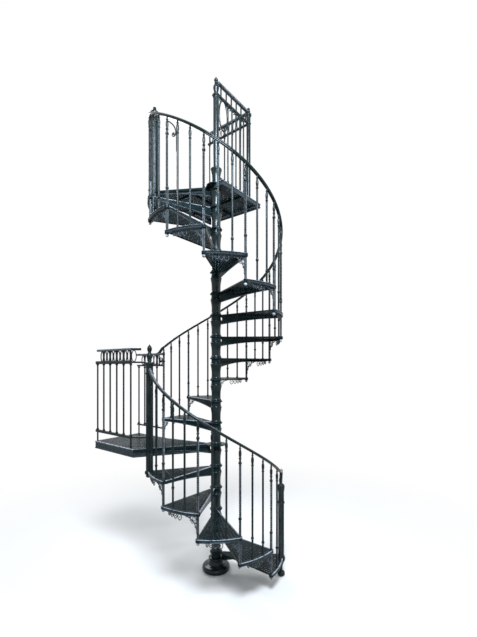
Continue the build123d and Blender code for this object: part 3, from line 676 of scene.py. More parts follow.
@dataclass(frozen=True)
class Climb:
    """Heights and azimuths of the steps, and the line of the handrail over them."""

    riser: float = 0.2286
    first_rise: float = 0.190
    pitch: float = 31.2
    lower: int = 5
    upper: int = 11
    first_nosing: float = -57.4
    landing_turn: float = 43.6
    lap: float = 2.3
    rim: float = 0.711
    edge_depth: float = 0.028
    hub_rise: float = 0.006
    post_radius: float = 0.690
    rail_rise: float = 0.810
    rail_depth: float = 0.025
    rail_sink: float = 0.0003
    set_back: float = 5.0

    @property
    def middle(self) -> int:
        """Step that is the middle landing."""
        return self.lower + 1

    @property
    def top(self) -> int:
        """Step that is the top landing."""
        return self.middle + self.upper + 1

    @property
    def span(self) -> float:
        """Azimuths that a tread covers."""
        return self.pitch + self.lap

    @property
    def post_turn(self) -> float:
        """Turn from a nosing to its corner bar."""
        return self.lap / 2

    @property
    def rail_drop(self) -> float:
        """Upright distance from the sloping handrail's centre to its underside."""
        slope = atan(self.riser / radians(self.pitch) / self.post_radius)
        return (self.rail_depth / 2 + self.rail_sink) / cos(slope)

    def height(self, step: int) -> float:
        """Height of a step's walking face."""
        return self.first_rise + (step - 1) * self.riser

    def nosing(self, step: int) -> float:
        """Azimuth of a step's leading edge."""
        turns = (step - 1) * self.pitch
        if step > self.middle:
            turns += self.landing_turn - self.pitch
        return self.first_nosing - turns

    def post(self, step: int) -> float:
        """Azimuth of a step's corner bar or newel."""
        return self.nosing(step) - self.post_turn

    def rail(self, turn: float) -> float:
        """Height of the handrail's centre over a walking face, a turn past its nosing."""
        return self.rail_rise + turn / self.pitch * self.riser


CLIMB = Climb()


# Column

BORE = 0.03825  # radius of the bore round the pole
TURNED = 30.0  # degrees beyond which a turned piece's edges stay sharp


def foot_bead() -> Array:
    """Profile of the bead at a sleeve's foot."""
    return bead(52, 54.8, 55.6, 6, 3.5, 0.006)


@dataclass
class Column:
    """Bun foot, pedestal, vase shaped sleeves and the hubs' ring mouldings."""

    hub_depth: float = 0.056
    foot_sides: int = 48
    pedestal_sides: int = 40
    hub_sides: int = 36

    def base(self) -> Shape:
        """Bun foot under a stepped flare, closed but for the pole's socket."""
        rise = mm((131, 0), (140.5, 4), (146.2, 13), (147, 26), (145.8, 37), (140.5, 46),
                  (131, 52.5), (118, 57), (104, 59.5))
        flare = mm((93, 64.5), (85, 68), (80, 74), (77.5, 80), (76.8, 84))
        socket = [(BORE, 0.084), (BORE, 0.006), (0.002, 0.006)]
        steps = mm((103, 62.5), (97, 64))
        profile = np.concatenate([mm((2, 0)), flow(rise, 3), steps, flow(flare, 3), socket])
        return turned(profile, self.foot_sides)

    def pedestal(self) -> Shape:
        """Thick pedestal from the foot up to the first hub, with a bead at each end."""
        rows = mm((76.8, 84.2), (79.5, 87), (78, 90), (75.2, 93), (74.5, 105), (75.2, 117),
                  (78.2, 120.5), (80, 125), (78.2, 129), (70, 133.5))
        return bored(flow(rows, 3), BORE, self.pedestal_sides)

    def sleeve(self, height: float) -> Shape:
        """Sleeve between two hubs: a banded foot, a slim neck and a vase with a shoulder."""
        neck = mm((51.2, 13), (50.5, 16.5), (49.2, 19), (48.6, 24), (48.3, 40), (48.3, 66),
                  (49, 84), (50.8, 102), (53.8, 120), (57, 138))
        shoulder = over(0.001, height, ((60.4, -15), (61.2, -11.5), (60.4, -8), (57, -5.5),
                                        (53.5, -2), (52.5, 0)))
        vase = flow([*neck, (0.0590, height - 0.018)], 3)
        return bored(np.concatenate([foot_bead(), vase, flow(shoulder, 2)]), BORE)

    def hub_ring(self) -> Shape:
        """Collar of a step round the pole: a bead at its foot and a rounded ring at its top."""
        low = -self.hub_depth
        crown = mm((56, -15), (63, -12), (66, -6.5), (66.2, -2), (64, 2), (60, 4))
        profile = np.concatenate([
            bead(51.5, 54.5, 55.2, 5, 3, low + 0.005),
            [(0.0510, low + 0.014), (0.0510, -0.016)],
            flow(crown, 2),
            [(0.0560, 0.0046), (0.0548, CLIMB.hub_rise)],
        ])
        return bored(profile, BORE, self.hub_sides)

    def sleeves(self, first: int, last: int) -> list[Shape]:
        """Sleeves on the hubs from one step up to the one before another."""
        sleeve = self.sleeve(CLIMB.riser - self.hub_depth - CLIMB.hub_rise)
        return [sleeve.moved(CLIMB.nosing(step), CLIMB.height(step) + CLIMB.hub_rise)
                for step in range(first, last)]

    def build(self, shop: Workshop, nodes: dict[str, bpy.types.Object]) -> None:
        """Makes the foot, the sleeves and the pole's finish."""
        lower = Shape.joined([self.pedestal(), *self.sleeves(1, CLIMB.middle)])
        upper = Shape.joined(self.sleeves(CLIMB.middle, CLIMB.top))
        shop.piece("base_flange", self.base(), Finish.COLUMN, TURNED, "iron_foot")
        shop.piece("lower_sleeves", lower, Finish.COLUMN, TURNED)
        shop.piece("upper_sleeves", upper, Finish.COLUMN, TURNED)
        pole = nodes["centre_pole"]
        pole.data.materials.clear()
        pole.data.materials.append(shop.finish(Finish.COLUMN))


# Treads


@dataclass
class Treads:
    """Pierced treads: lattice between ring bars, a nosing, a moulded rim, a web and a bracket."""

    column: Column
    piercing: Piercing = Piercing()
    edge: float = 0.014
    back: float = 0.010
    back_depth: float = 0.014
    hub: float = 0.052
    inner: float = 0.100
    outer: float = 0.673
    rim_lap: float = 0.002
    rim_inset: float = 0.0003
    rim_stations: int = 26
    bar_start: float = 0.048
    bar_gap: float = 0.004
    bar_stations: int = 24
    ring_bar: float = 0.014
    ring_depth: float = 0.010
    ring_crown: float = 0.0012
    ring_stations: int = 14
    bands: tuple[int, ...] = (3, 6, 9, 12)
    rows: int = 5
    web: float = 0.008
    web_line: float = -0.007
    web_top: float = -0.006
    web_start: float = 0.0635
    web_heel: float = 0.100
    web_toe: float = 0.034
    web_crown: float = 0.052
    web_stations: int = 22
    heel_end: float = 0.0645
    lip_start: float = 0.0540
    lip_rise: float = 0.004
    lip: Triple = (0.013, 0.009, 0.003)
    lug: float = 0.0218
    first_lug: float = 0.042
    newel_lug: float = 0.047
    bar_hole: float = 0.0098
    newel_wall: float = 0.011
    boss_sides: int = 24
    hangers: tuple[Pair, ...] = ((0.176, 0.050), (0.221, 0.043), (0.260, 0.036), (0.293, 0.029))

    def rule(self, near: float, far: float) -> Rule:
        """Rule between two radii: the azimuth runs from the front bar's edge to the back's."""

        def plan(u: Array, v: Array) -> Array:
            radius = near + (far - near) * v
            first = -np.degrees(self.edge / radius)
            last = -CLIMB.span + np.degrees(self.back / radius)
            return unit(first + (last - first) * u)[..., :2] * radius[..., None]

        return plan

    def lattice(self) -> list[Shape]:
        """Bands of piercing with a ring bar between them."""
        depth = (self.outer - self.inner + self.ring_bar) / len(self.bands)
        shapes = []
        for index, columns in enumerate(self.bands):
            near = self.inner + index * depth
            rule = self.rule(near, near + depth - self.ring_bar)
            shapes.append(self.piercing.plate(rule, columns, self.rows))
            if index:
                shapes.append(self.ring(near - self.ring_bar, near))
        shapes.append(self.ring(self.hub, self.inner))
        shapes.append(self.ring(self.outer, CLIMB.rim - self.edge + self.rim_lap))
        return shapes

    def ring(self, near: float, far: float) -> Shape:
        """Ring bar with a low crown."""
        low, crown = -self.ring_depth, self.ring_crown
        section = ((0, low), (1, low), (1, 0), (0.8, crown), (0.2, crown), (0, 0))
        return strap(self.rule(near, far), self.ring_stations, section)

    def frame(self, reach: float) -> list[Shape]:
        """Rounded nosing, moulded rim and back bar."""
        path = np.linspace((self.bar_start, 0, 0), (reach, 0, 0), self.bar_stations)
        nose = mm((-14, 0), (-5, 1.2), (-1.8, 0.6), (0, -2), (0, -7), (-1.5, -9), (-4, -10),
                  (-5, -13), (-5, -24), (-4, -28), (-12, -28), (-14, -26))
        front = sweep(path, SIDE, UP, nose)
        # Top of the nosing: rubbed paint and a painted highlight along the edge.
        lit = (front.points[:, 2] > -0.003) & (front.points[:, 1] > -0.006)
        moulding = mm((-14, 0), (-9, 1.4), (-5, 2.2), (-1.5, 1.4), (0, -1.2), (-0.6, -4.4),
                      (-3.4, -6.4), (-4.6, -9), (-4.6, -19), (-2.6, -21.5), (-0.6, -23.2),
                      (-0.6, -26.6), (-2.6, -28), (-12, -28), (-14, -26))
        rays = unit(np.linspace(0.0, -CLIMB.span, self.rim_stations))
        rim = sweep(rays * (CLIMB.rim - self.rim_inset), rays, UP, moulding)
        bar = rounded(self.back, self.back_depth, 0.0015, 1) + (self.back / 2, -self.back_depth / 2)
        # Crown of the rim's bead: rubbed paint and a painted highlight along it.
        crown = rim.points[:, 2] > 0.0005
        return [front.worn_and_highlit(np.where(lit, WEAR_AND_HIGHLIGHT.nosing, WEAR_AND_HIGHLIGHT.flat)),
                rim.worn_and_highlit(np.where(crown, WEAR_AND_HIGHLIGHT.rim, WEAR_AND_HIGHLIGHT.flat)),
                sweep(path, SIDE, UP, bar).moved(-CLIMB.span)]

    def leading_web(self, reach: float) -> list[Shape]:
        """Web under the nosing: arched below, thick along its lip and ribbed at its heel.

        Its depth is the chord from heel to toe less four times the share
        along it, times the rest, times the rise of the arch.

        Args:
            reach: radius where it ends.

        Returns:
            The web, its lip and its heel.
        """
        share = np.linspace(0, 1, self.web_stations)
        flat = np.zeros_like(share)
        half = self.web / 2
        chord = self.web_heel + (self.web_toe - self.web_heel) * share
        arch = chord[self.web_stations // 2] - self.web_crown
        depth = chord - 4 * share * (1 - share) * arch
        along = self.web_start + (reach - self.web_start) * share
        path = np.stack([along, flat + self.web_line, flat], axis=1)
        top = flat + self.web_top
        corners = ((-half, -depth), (half, -depth), (half, top), (-half, top))
        section = np.stack([np.stack([flat + side, z], -1) for side, z in corners], axis=1)
        lip = path.copy()
        lip[0, 0] = self.lip_start
        lip[:, 2] = self.lip_rise - depth
        heel = mm((53.4, -56), (57.5, -61.2), (61.5, -65), (61.6, -70), (59.4, -74),
                  (56.8, -84.6), (53.4, -99))
        rings = np.empty((len(heel), 4, 3))
        rings[..., 0] = np.where([True, False, False, True], heel[:, :1], self.heel_end)
        rings[..., 1] = np.array([-half, -half, half, half]) + self.web_line
        rings[..., 2] = heel[:, 1:]
        edge = sweep(lip, SIDE, UP, rounded(*self.lip))
        return [sweep(path, SIDE, UP, section), edge.worn_and_highlit(WEAR_AND_HIGHLIGHT.openwork), tube(rings)]

    def boss(self, turn: float, radius: float) -> Shape:
        """Round boss for a post at the rim."""
        rows = ((0.82, -1), (0.97, 2), (1, 7), (1, 22), (0.97, 27), (0.86, 29.5))
        profile = flow(over(radius, -CLIMB.edge_depth, rows), 2)
        hole = self.bar_hole if radius < self.first_lug else radius - self.newel_wall
        return bored(profile, hole, self.boss_sides).moved(turn, 0, CLIMB.post_radius)

    def bracket(self) -> list[Shape]:
        """Openwork bracket under the rim: strap, arch, ring, scrolls and hanging ovals."""
        near, reach, end, depth = 0.0083, 0.138, 0.318, 0.008
        stem = near + 0.0035
        arch = unit(np.linspace(180, 90, 14))[:, :2] * (reach - 0.0035) + (near + reach, -reach)
        curls = [
            scroll(near + x, y, radii, turns, width, depth, points, tip)
            for x, y, radii, turns, width, points, tip in (
                (0.0420, -0.0560, (0.0125, 0.0030), (200, 560), 0.0040, 22, 1.0),
                (0.0560, -0.0420, (0.0090, 0.0030), (30, -330), 0.0040, 16, 1.0),
                (0.0155, -0.0640, (0.0125, 0.0030), (95, -380), 0.0045, 22, 0.7),
                (0.0640, -0.0155, (0.0125, 0.0030), (-5, 470), 0.0045, 22, 0.7),
                (0.0125, -0.0960, (0.0080, 0.0025), (90, -300), 0.0040, 16, 1.0),
                (0.0960, -0.0125, (0.0080, 0.0025), (0, 390), 0.0040, 16, 1.0),
            )
        ]
        bars = [
            strip(((stem, -reach - 0.010), (stem, 0.004)), 0.007, depth),
            strip(((near, -0.0025), (end, -0.0025)), 0.006, depth),
            strip(arch, 0.0075, depth), *curls[:2],
            ring(oval(near + 0.0265, -0.0265, 0.034, 0.034, 18), 0.0055, depth), *curls[2:],
        ]
        bars += [
            ball(radius, near + x, y, sides=8)
            for radius, x, y in ((0.0055, 0.0265, -0.0265), (0.0042, 0.0155, -0.0640),
                                 (0.0042, 0.0640, -0.0155), (0.0065, 0.0035, -reach - 0.012))
        ]
        for x, size in self.hangers:
            middle = -size / 2 - 0.003
            bars.append(ring(oval(x, middle, size * 0.78, size, 16), 0.0062, depth))
            bars.append(ball(0.0058, x, middle, sides=8))
            bars.append(ball(0.0050, x, -size - 0.006, sides=8))
        place = (-CLIMB.post_turn, -CLIMB.edge_depth, CLIMB.post_radius)
        return [bar.on_rim(*place).worn_and_highlit(WEAR_AND_HIGHLIGHT.openwork) for bar in bars]

    def tread(self, front: float, front_lug: float, back_lug: float, bracketed: bool) -> Shape:
        """One tread at the column's axis, its walking face at nought and its nosing along x."""
        shapes = self.lattice() + self.frame(CLIMB.rim - self.bar_gap)
        shapes += self.leading_web(CLIMB.post_radius - front_lug)
        shapes += [self.boss(front, front_lug),
                   self.boss(-CLIMB.pitch - CLIMB.post_turn, back_lug), self.column.hub_ring()]
        return Shape.joined(shapes + (self.bracket() if bracketed else []))

    def build(self, shop: Workshop) -> None:
        """Makes all the treads."""
        first = self.tread(-CLIMB.set_back, self.first_lug, self.lug, False)
        plain = self.tread(-CLIMB.post_turn, self.lug, self.lug, True)
        newel = self.tread(-CLIMB.post_turn, self.lug, self.newel_lug, True)
        shapes = {1: first, CLIMB.middle - 1: newel, CLIMB.top - 1: newel}
        steps = [step for step in range(1, CLIMB.top) if step != CLIMB.middle]
        for number, step in enumerate(steps, start=1):
            shape = shapes.get(step, plain).moved(CLIMB.nosing(step), CLIMB.height(step))
            shop.piece(f"tread_{number:02d}", shape, Finish.STEPS)


# Landings


@dataclass(frozen=True)
class Site:
    """Where the landings end, where the corner newel stands and how high the guards are."""

    wall: float = 1.160
    balcony: float = 0.650
    corner: float = 0.590
    landing_guard: float = 1.010
    side_guard: float = 0.980
    top_guard: float = 1.140


SITE = Site()


@dataclass
class Landings:
    """Pierced decks on a hub with ribs and a moulded skirt."""

    column: Column
    treads: Treads
    left: float = -0.711
    right: float = -0.1206
    line: float = 0.655
    top_right: float = 0.622
    top_front: float = -0.155
    top_left: float = -0.078
    top_line: float = 0.115
    hub_end: Pair = (-0.0665, -0.024)
    wedge_gap: float = 0.012
    cell: float = 0.030
    edge: float = 0.014
    skirt: float = 0.080
    top_skirt: float = 0.050
    hub: float = 0.068
    lattice_hub: float = 0.104
    plain_hub: float = 0.120
    plain_top_hub: float = 0.118
    plain_rib: float = 0.028
    plate_sides: int = 36
    rib_start: float = 0.070
    rib_gap: float = 0.004
    cross_x: float = 0.30
    cross_y: float = 0.28
    corner_lug: float = 0.022
    seam: Pair = (-0.030, 0.0014)
    lead: Pair = (-0.028, 0.0012)
    broad: Pair = (-0.012, 0.0012)
    hidden: Pair = (-0.034, -0.007)
    shallow: Pair = (-0.030, -0.007)

    def panel(self, corners: Points, bare: Callable[[Array], Array] | None = None) -> Shape:
        """Pierced plate between four corners, plain where a rule on its cells' middles says so."""
        a, b, c, d = (np.asarray(corner, float) for corner in corners)
        wide = (np.linalg.norm(b - a) + np.linalg.norm(c - d)) / 2
        high = (np.linalg.norm(d - a) + np.linalg.norm(c - b)) / 2
        columns, rows = (max(1, round(length / self.cell)) for length in (wide, high))
        rule = patch(corners)
        kinds = None
        if bare is not None:
            middles = ((np.arange(count) + 0.5) / count for count in (rows, columns))
            v, u = np.meshgrid(*middles, indexing="ij")
            kinds = np.where(bare(rule(u, v)), 1, 2)
        return self.treads.piercing.plate(rule, columns, rows, kinds)

    def rib(self, start: Numbers, end: Numbers, width: float, low: float,
            high: float) -> Shape:
        """Straight rib between two plan points and two heights."""
        length = hypot(end[0] - start[0], end[1] - start[1])
        middle = (low + high) / 2
        bar = strip(((0.0, middle), (length, middle)), high - low, width)
        return bar.upright(start, end, 0.0)

    def skirting(self, points: Points, depth: float) -> Shape:
        """Moulded skirt inside a deck's outline, open at the hub.

        Each corner's offset is the sum of its two inward normals over one plus
        their product, so that the mouldings meet in mitres. The two ends by
        the hub are cut square.

        Args:
            points: the outline, from the leading side of the hub round to its back.
            depth: upright size.

        Returns:
            The skirt, its top edge rubbed and given a painted highlight.
        """
        outline = np.asarray(points, float)
        ahead = np.diff(outline, axis=0)
        ahead /= np.linalg.norm(ahead, axis=1, keepdims=True)
        normal = np.stack([-ahead[:, 1], ahead[:, 0]], axis=1)
        before, after = np.concatenate([normal[:1], normal]), np.concatenate([normal, normal[-1:]])
        mitre = (before + after) / (1 + (before * after).sum(axis=1, keepdims=True))
        x, y = outline.T
        if float(np.sum(x * np.roll(y, -1) - np.roll(x, -1) * y)) < 0:
            mitre = -mitre
        section = np.concatenate([
            mm((14, 0), (7, 1.2), (2, 1.2), (0, -1), (0, -7), (3, -10), (4.6, -14)),
            over(0.001, -depth, ((5, 20), (4.6, 14), (2, 10), (1, 6), (3, 0), (12, 0), (14, 2))),
        ])
        rings = np.empty((len(outline), len(section), 3))
        rings[..., :2] = outline[:, None] + mitre[:, None] * section[None, :, :1]
        rings[..., 2] = section[None, :, 1]
        skirt = tube(rings)
        # Top edge: worn paint and painted highlight in the pale rubbed colour.
        return skirt.worn_and_highlit(np.where(skirt.points[:, 2] > -0.006, WEAR_AND_HIGHLIGHT.skirt, WEAR_AND_HIGHLIGHT.flat))

    def deck(self, lead: float, parts: Sequence[Shape], outline: Points, skirt: float,
             bosses: Sequence[Shape] = ()) -> Shape:
        """Deck with its hub, skirt, web and newel's boss.

        Args:
            lead: azimuth of its nosing.
            parts: panels and ribs.
            outline: plan points of its edge.
            skirt: depth of its skirt.
            bosses: further bosses.

        Returns:
            The deck, its walking face at nought.
        """
        plate = mm((70, -8.5), (108, -8.5), (108, 0.4), (104, 1.6), (60, 1.6))
        hub = [bored(plate, self.treads.hub, self.plate_sides),
               self.column.hub_ring().moved(lead)]
        webs = self.treads.leading_web(CLIMB.post_radius - self.treads.newel_lug)
        boss = self.treads.boss(lead - CLIMB.post_turn, self.treads.newel_lug)
        return Shape.joined([*parts, *hub, self.skirting(outline, skirt),
                             *(web.moved(lead) for web in webs), boss, *bosses])

    def near_hub(self, plan: Array) -> Array:
        """Whether cells lie close to the hub."""
        return np.linalg.norm(plan, axis=-1) < self.plain_hub

    def by_rib(self, plan: Array) -> Array:
        """Whether cells lie close to the hub or over the rib that runs right from it."""
        rib = (np.abs(plan[..., 1]) < self.plain_rib) & (plan[..., 0] > 0)
        return (np.linalg.norm(plan, axis=-1) < self.plain_top_hub) | rib

    def middle_deck(self) -> Shape:
        """Middle landing: two wedges from the hub and a straight part up to the wall."""
        lead = CLIMB.nosing(CLIMB.middle)
        back = CLIMB.nosing(CLIMB.middle + 1) - CLIMB.lap
        slope, fall = tan(radians(lead)), tan(radians(back))
        left, right, far = self.left + self.edge, self.right - self.edge, SITE.wall - self.edge
        corner, across = (left, self.line), (right, self.line)
        turn = float(np.degrees(np.arctan2(self.line, left))) - 360
        start, middle, end = (polar(self.lattice_hub, azimuth) for azimuth in (lead, turn, back))
        tip = self.left + self.rib_gap
        halfway = (left + right) / 2
        parts = [
            self.panel((corner, across, (right, far), (left, far))),
            self.panel((start, middle, corner, (left, left * slope + self.edge)), self.near_hub),
            self.panel((middle, end, across, corner), self.near_hub),
            self.rib(corner, across, 0.014, *self.seam),
            self.rib(middle, corner, 0.014, *self.seam),
            self.rib(polar(self.rib_start, lead), (tip, tip * slope), 0.016, *self.lead),
            self.rib((halfway, self.line), (halfway, far), 0.010, *self.shallow),
        ]
        outline = [polar(self.hub, lead), (self.left, self.left * slope), (self.left, SITE.wall),
                   (self.right, SITE.wall), (self.right, self.right * fall), polar(self.hub, back)]
        boss = self.treads.boss(CLIMB.post(CLIMB.middle + 1), self.corner_lug)
        return self.deck(lead, parts, outline, self.skirt, [boss])

    def top_deck(self) -> Shape:
        """Top landing: a straight part round the hub and a wedge on its leading side."""
        lead = CLIMB.nosing(CLIMB.top)
        skew = 1 / tan(radians(lead))
        left, right = self.top_left + self.edge, self.top_right - self.edge
        front, far, near = self.top_front + self.edge, SITE.balcony - self.edge, self.top_line
        wedge = ((near * skew + self.wedge_gap, near), (left, near), (left, far),
                 (far * skew + self.wedge_gap, far))
        tip = (SITE.balcony * skew + self.rib_gap, SITE.balcony - self.rib_gap)
        parts = [
            self.panel(((left, front), (right, front), (right, far), (left, far)), self.by_rib),
            self.panel(wedge, self.near_hub),
            self.rib((left, near), (left, far), 0.012, *self.seam),
            self.rib((left, self.cross_y), (right, self.cross_y), 0.010, *self.hidden),
            self.rib((self.cross_x, front), (self.cross_x, far), 0.010, *self.hidden),
            self.rib((self.hub, 0.0), (self.top_right - self.rib_gap, 0.0), 0.030, *self.broad),
            self.rib(polar(self.rib_start, lead), tip, 0.016, *self.lead),
        ]
        outline = [polar(self.hub, lead), (SITE.balcony * skew, SITE.balcony),
                   (self.top_right, SITE.balcony), (self.top_right, self.top_front),
                   (self.top_left, self.top_front), self.hub_end]
        return self.deck(lead, parts, outline, self.top_skirt)

    def build(self, shop: Workshop) -> None:
        """Makes both decks."""
        for node, deck, step in (("middle_landing", self.middle_deck(), CLIMB.middle),
                                 ("top_landing", self.top_deck(), CLIMB.top)):
            shop.piece(node, deck.moved(height=CLIMB.height(step)), Finish.STEPS)


# Bars and newels


@dataclass
class Bars:
    """Balusters of the curve: turned plain bars and twisted corner bars with ball nuts."""

    per_tread: int = 3
    twist_side: float = 0.019
    twist_pitch: float = 0.064
    twist_step: float = 0.004
    plain_length: float = 0.165
    knob_drop: float = 0.779
    nut: float = 0.015
    rail_lap: float = 0.010
    sides: int = 12
    round_sides: int = 16

    def head(self, top: float) -> Array:
        """Profile of a bar's upper end: a ring, an urn and a slim neck under the rail."""
        rows = ((9.6, -150), (9.6, -128), (13.2, -122), (13.2, -116), (9.6, -111), (10, -104),
                (12.6, -88), (13.4, -72), (12.2, -58), (9, -46), (7, -38), (10.6, -33),
                (10.6, -28), (7, -23), (6.6, -10), (8.2, 0))
        return flow(over(0.001, top, rows), 2)

    def top(self, turn: float) -> float:
        """Height of a bar's end in the rail, a turn past the nosing."""
        return CLIMB.rail(turn) - CLIMB.rail_drop + self.rail_lap

    def plain(self, turn: float) -> Shape:
        """Turned bar on a tread, a turn past its nosing."""
        foot = flow(mm((14, 0), (14.6, 4), (13.4, 9), (10.2, 13), (9.6, 20)), 2)
        rows = ((9.6, -30), (9.9, -11), (13.2, -7), (14.8, 0), (13.2, 7), (9.9, 11), (9.6, 30))
        knob = flow(over(0.001, CLIMB.rail(turn) - self.knob_drop, rows), 2)
        profile = np.concatenate([foot, knob, self.head(self.top(turn))])
        return turned(profile, self.sides).moved(-turn, 0, CLIMB.post_radius)

    def corner(self) -> Shape:
        """Corner bar: hollow sided, twisted between plain ends, with an urn and a ball nut.

        A station at a height is turned by the height over the twist's pitch.
        """
        low = -CLIMB.riser - CLIMB.edge_depth
        top = self.top(CLIMB.post_turn)
        start, end = self.plain_length, top - self.plain_length
        twisted = np.arange(start, end, self.twist_step)
        foot, head = [low - 0.002, 0.004, start - 0.004], [end + 0.004, end + 0.012]
        heights = np.concatenate([foot, twisted, head])
        turn = 360 * np.clip(heights - start, 0, end - start) / self.twist_pitch
        reach = np.tile([self.twist_side * 0.66, self.twist_side * 0.37], 4)
        rings = unit(turn[:, None] + 45.0 * np.arange(8) + 45) * reach[:, None]
        rings[..., 2] = heights[:, None]
        washer = ((8.5, -4.2), (13, -4.2), (13.5, -1.5), (12, 0), (8.5, 0))
        bar = Shape.joined([
            # Ridges of the twist get the pale rubbed colour: painted highlight specks with some
            # wear.
            tube(rings).worn_and_highlit(np.tile([WEAR_AND_HIGHLIGHT.twist, 0.0], 4 * len(heights))),
            turned(bead(10, 14.2, 15.8, 12, 8, start - 0.004), self.round_sides),
            turned(bead(10, 14.2, 15.8, 12, 8, end + 0.006), self.round_sides),
            turned(flow(mm((16, 1), (16.6, 5), (15, 10), (10.5, 14)), 2), self.round_sides),
            turned(self.head(top), self.sides),
            ball(self.nut, z=low - self.nut + 0.0005, sides=self.round_sides).worn_and_highlit(WEAR_AND_HIGHLIGHT.nut),
            turned(over(0.001, low, washer), self.round_sides),
        ])
        return bar.moved(-CLIMB.post_turn, 0, CLIMB.post_radius)

    def brace(self) -> Shape:
        """Thin brace near the top, from a corner bar under the rail down the next, with a curl."""
        line = mm((0, -50), (-40, -78), (-85, -128), (-108, -190), (-114, -262), (-114.5, -360))
        curl = (-0.080, -0.198)
        parts = [strip(flow(line), 0.010, 0.011),
                 scroll(*curl, (0.0250, 0.0060), (150, 590), 0.0075, 0.010), ball(0.008, *curl)]
        step = CLIMB.top - 2
        rail = CLIMB.height(step) + CLIMB.rail(CLIMB.post_turn)
        return Shape.joined(parts).on_rim(CLIMB.post(step), rail, CLIMB.post_radius)

    def build(self, shop: Workshop) -> None:
        """Makes the bars of both flights."""
        plain = Shape.joined(self.plain(CLIMB.post_turn + CLIMB.pitch * index / self.per_tread)
                             for index in range(1, self.per_tread))
        corner = self.corner()
        lower, upper = range(1, CLIMB.middle), range(CLIMB.middle + 1, CLIMB.top)
        for node, shape, steps, more in (
            ("lower_balusters", plain, lower, []),
            ("upper_balusters", plain, upper, [self.brace()]),
            ("lower_corner_bars", corner, lower[1:], []),
            ("upper_corner_bars", corner, upper, []),
        ):
            row = [shape.moved(CLIMB.nosing(step), CLIMB.height(step)) for step in steps]
            shop.piece(node, Shape.joined(row + more), Finish.RAILINGS)


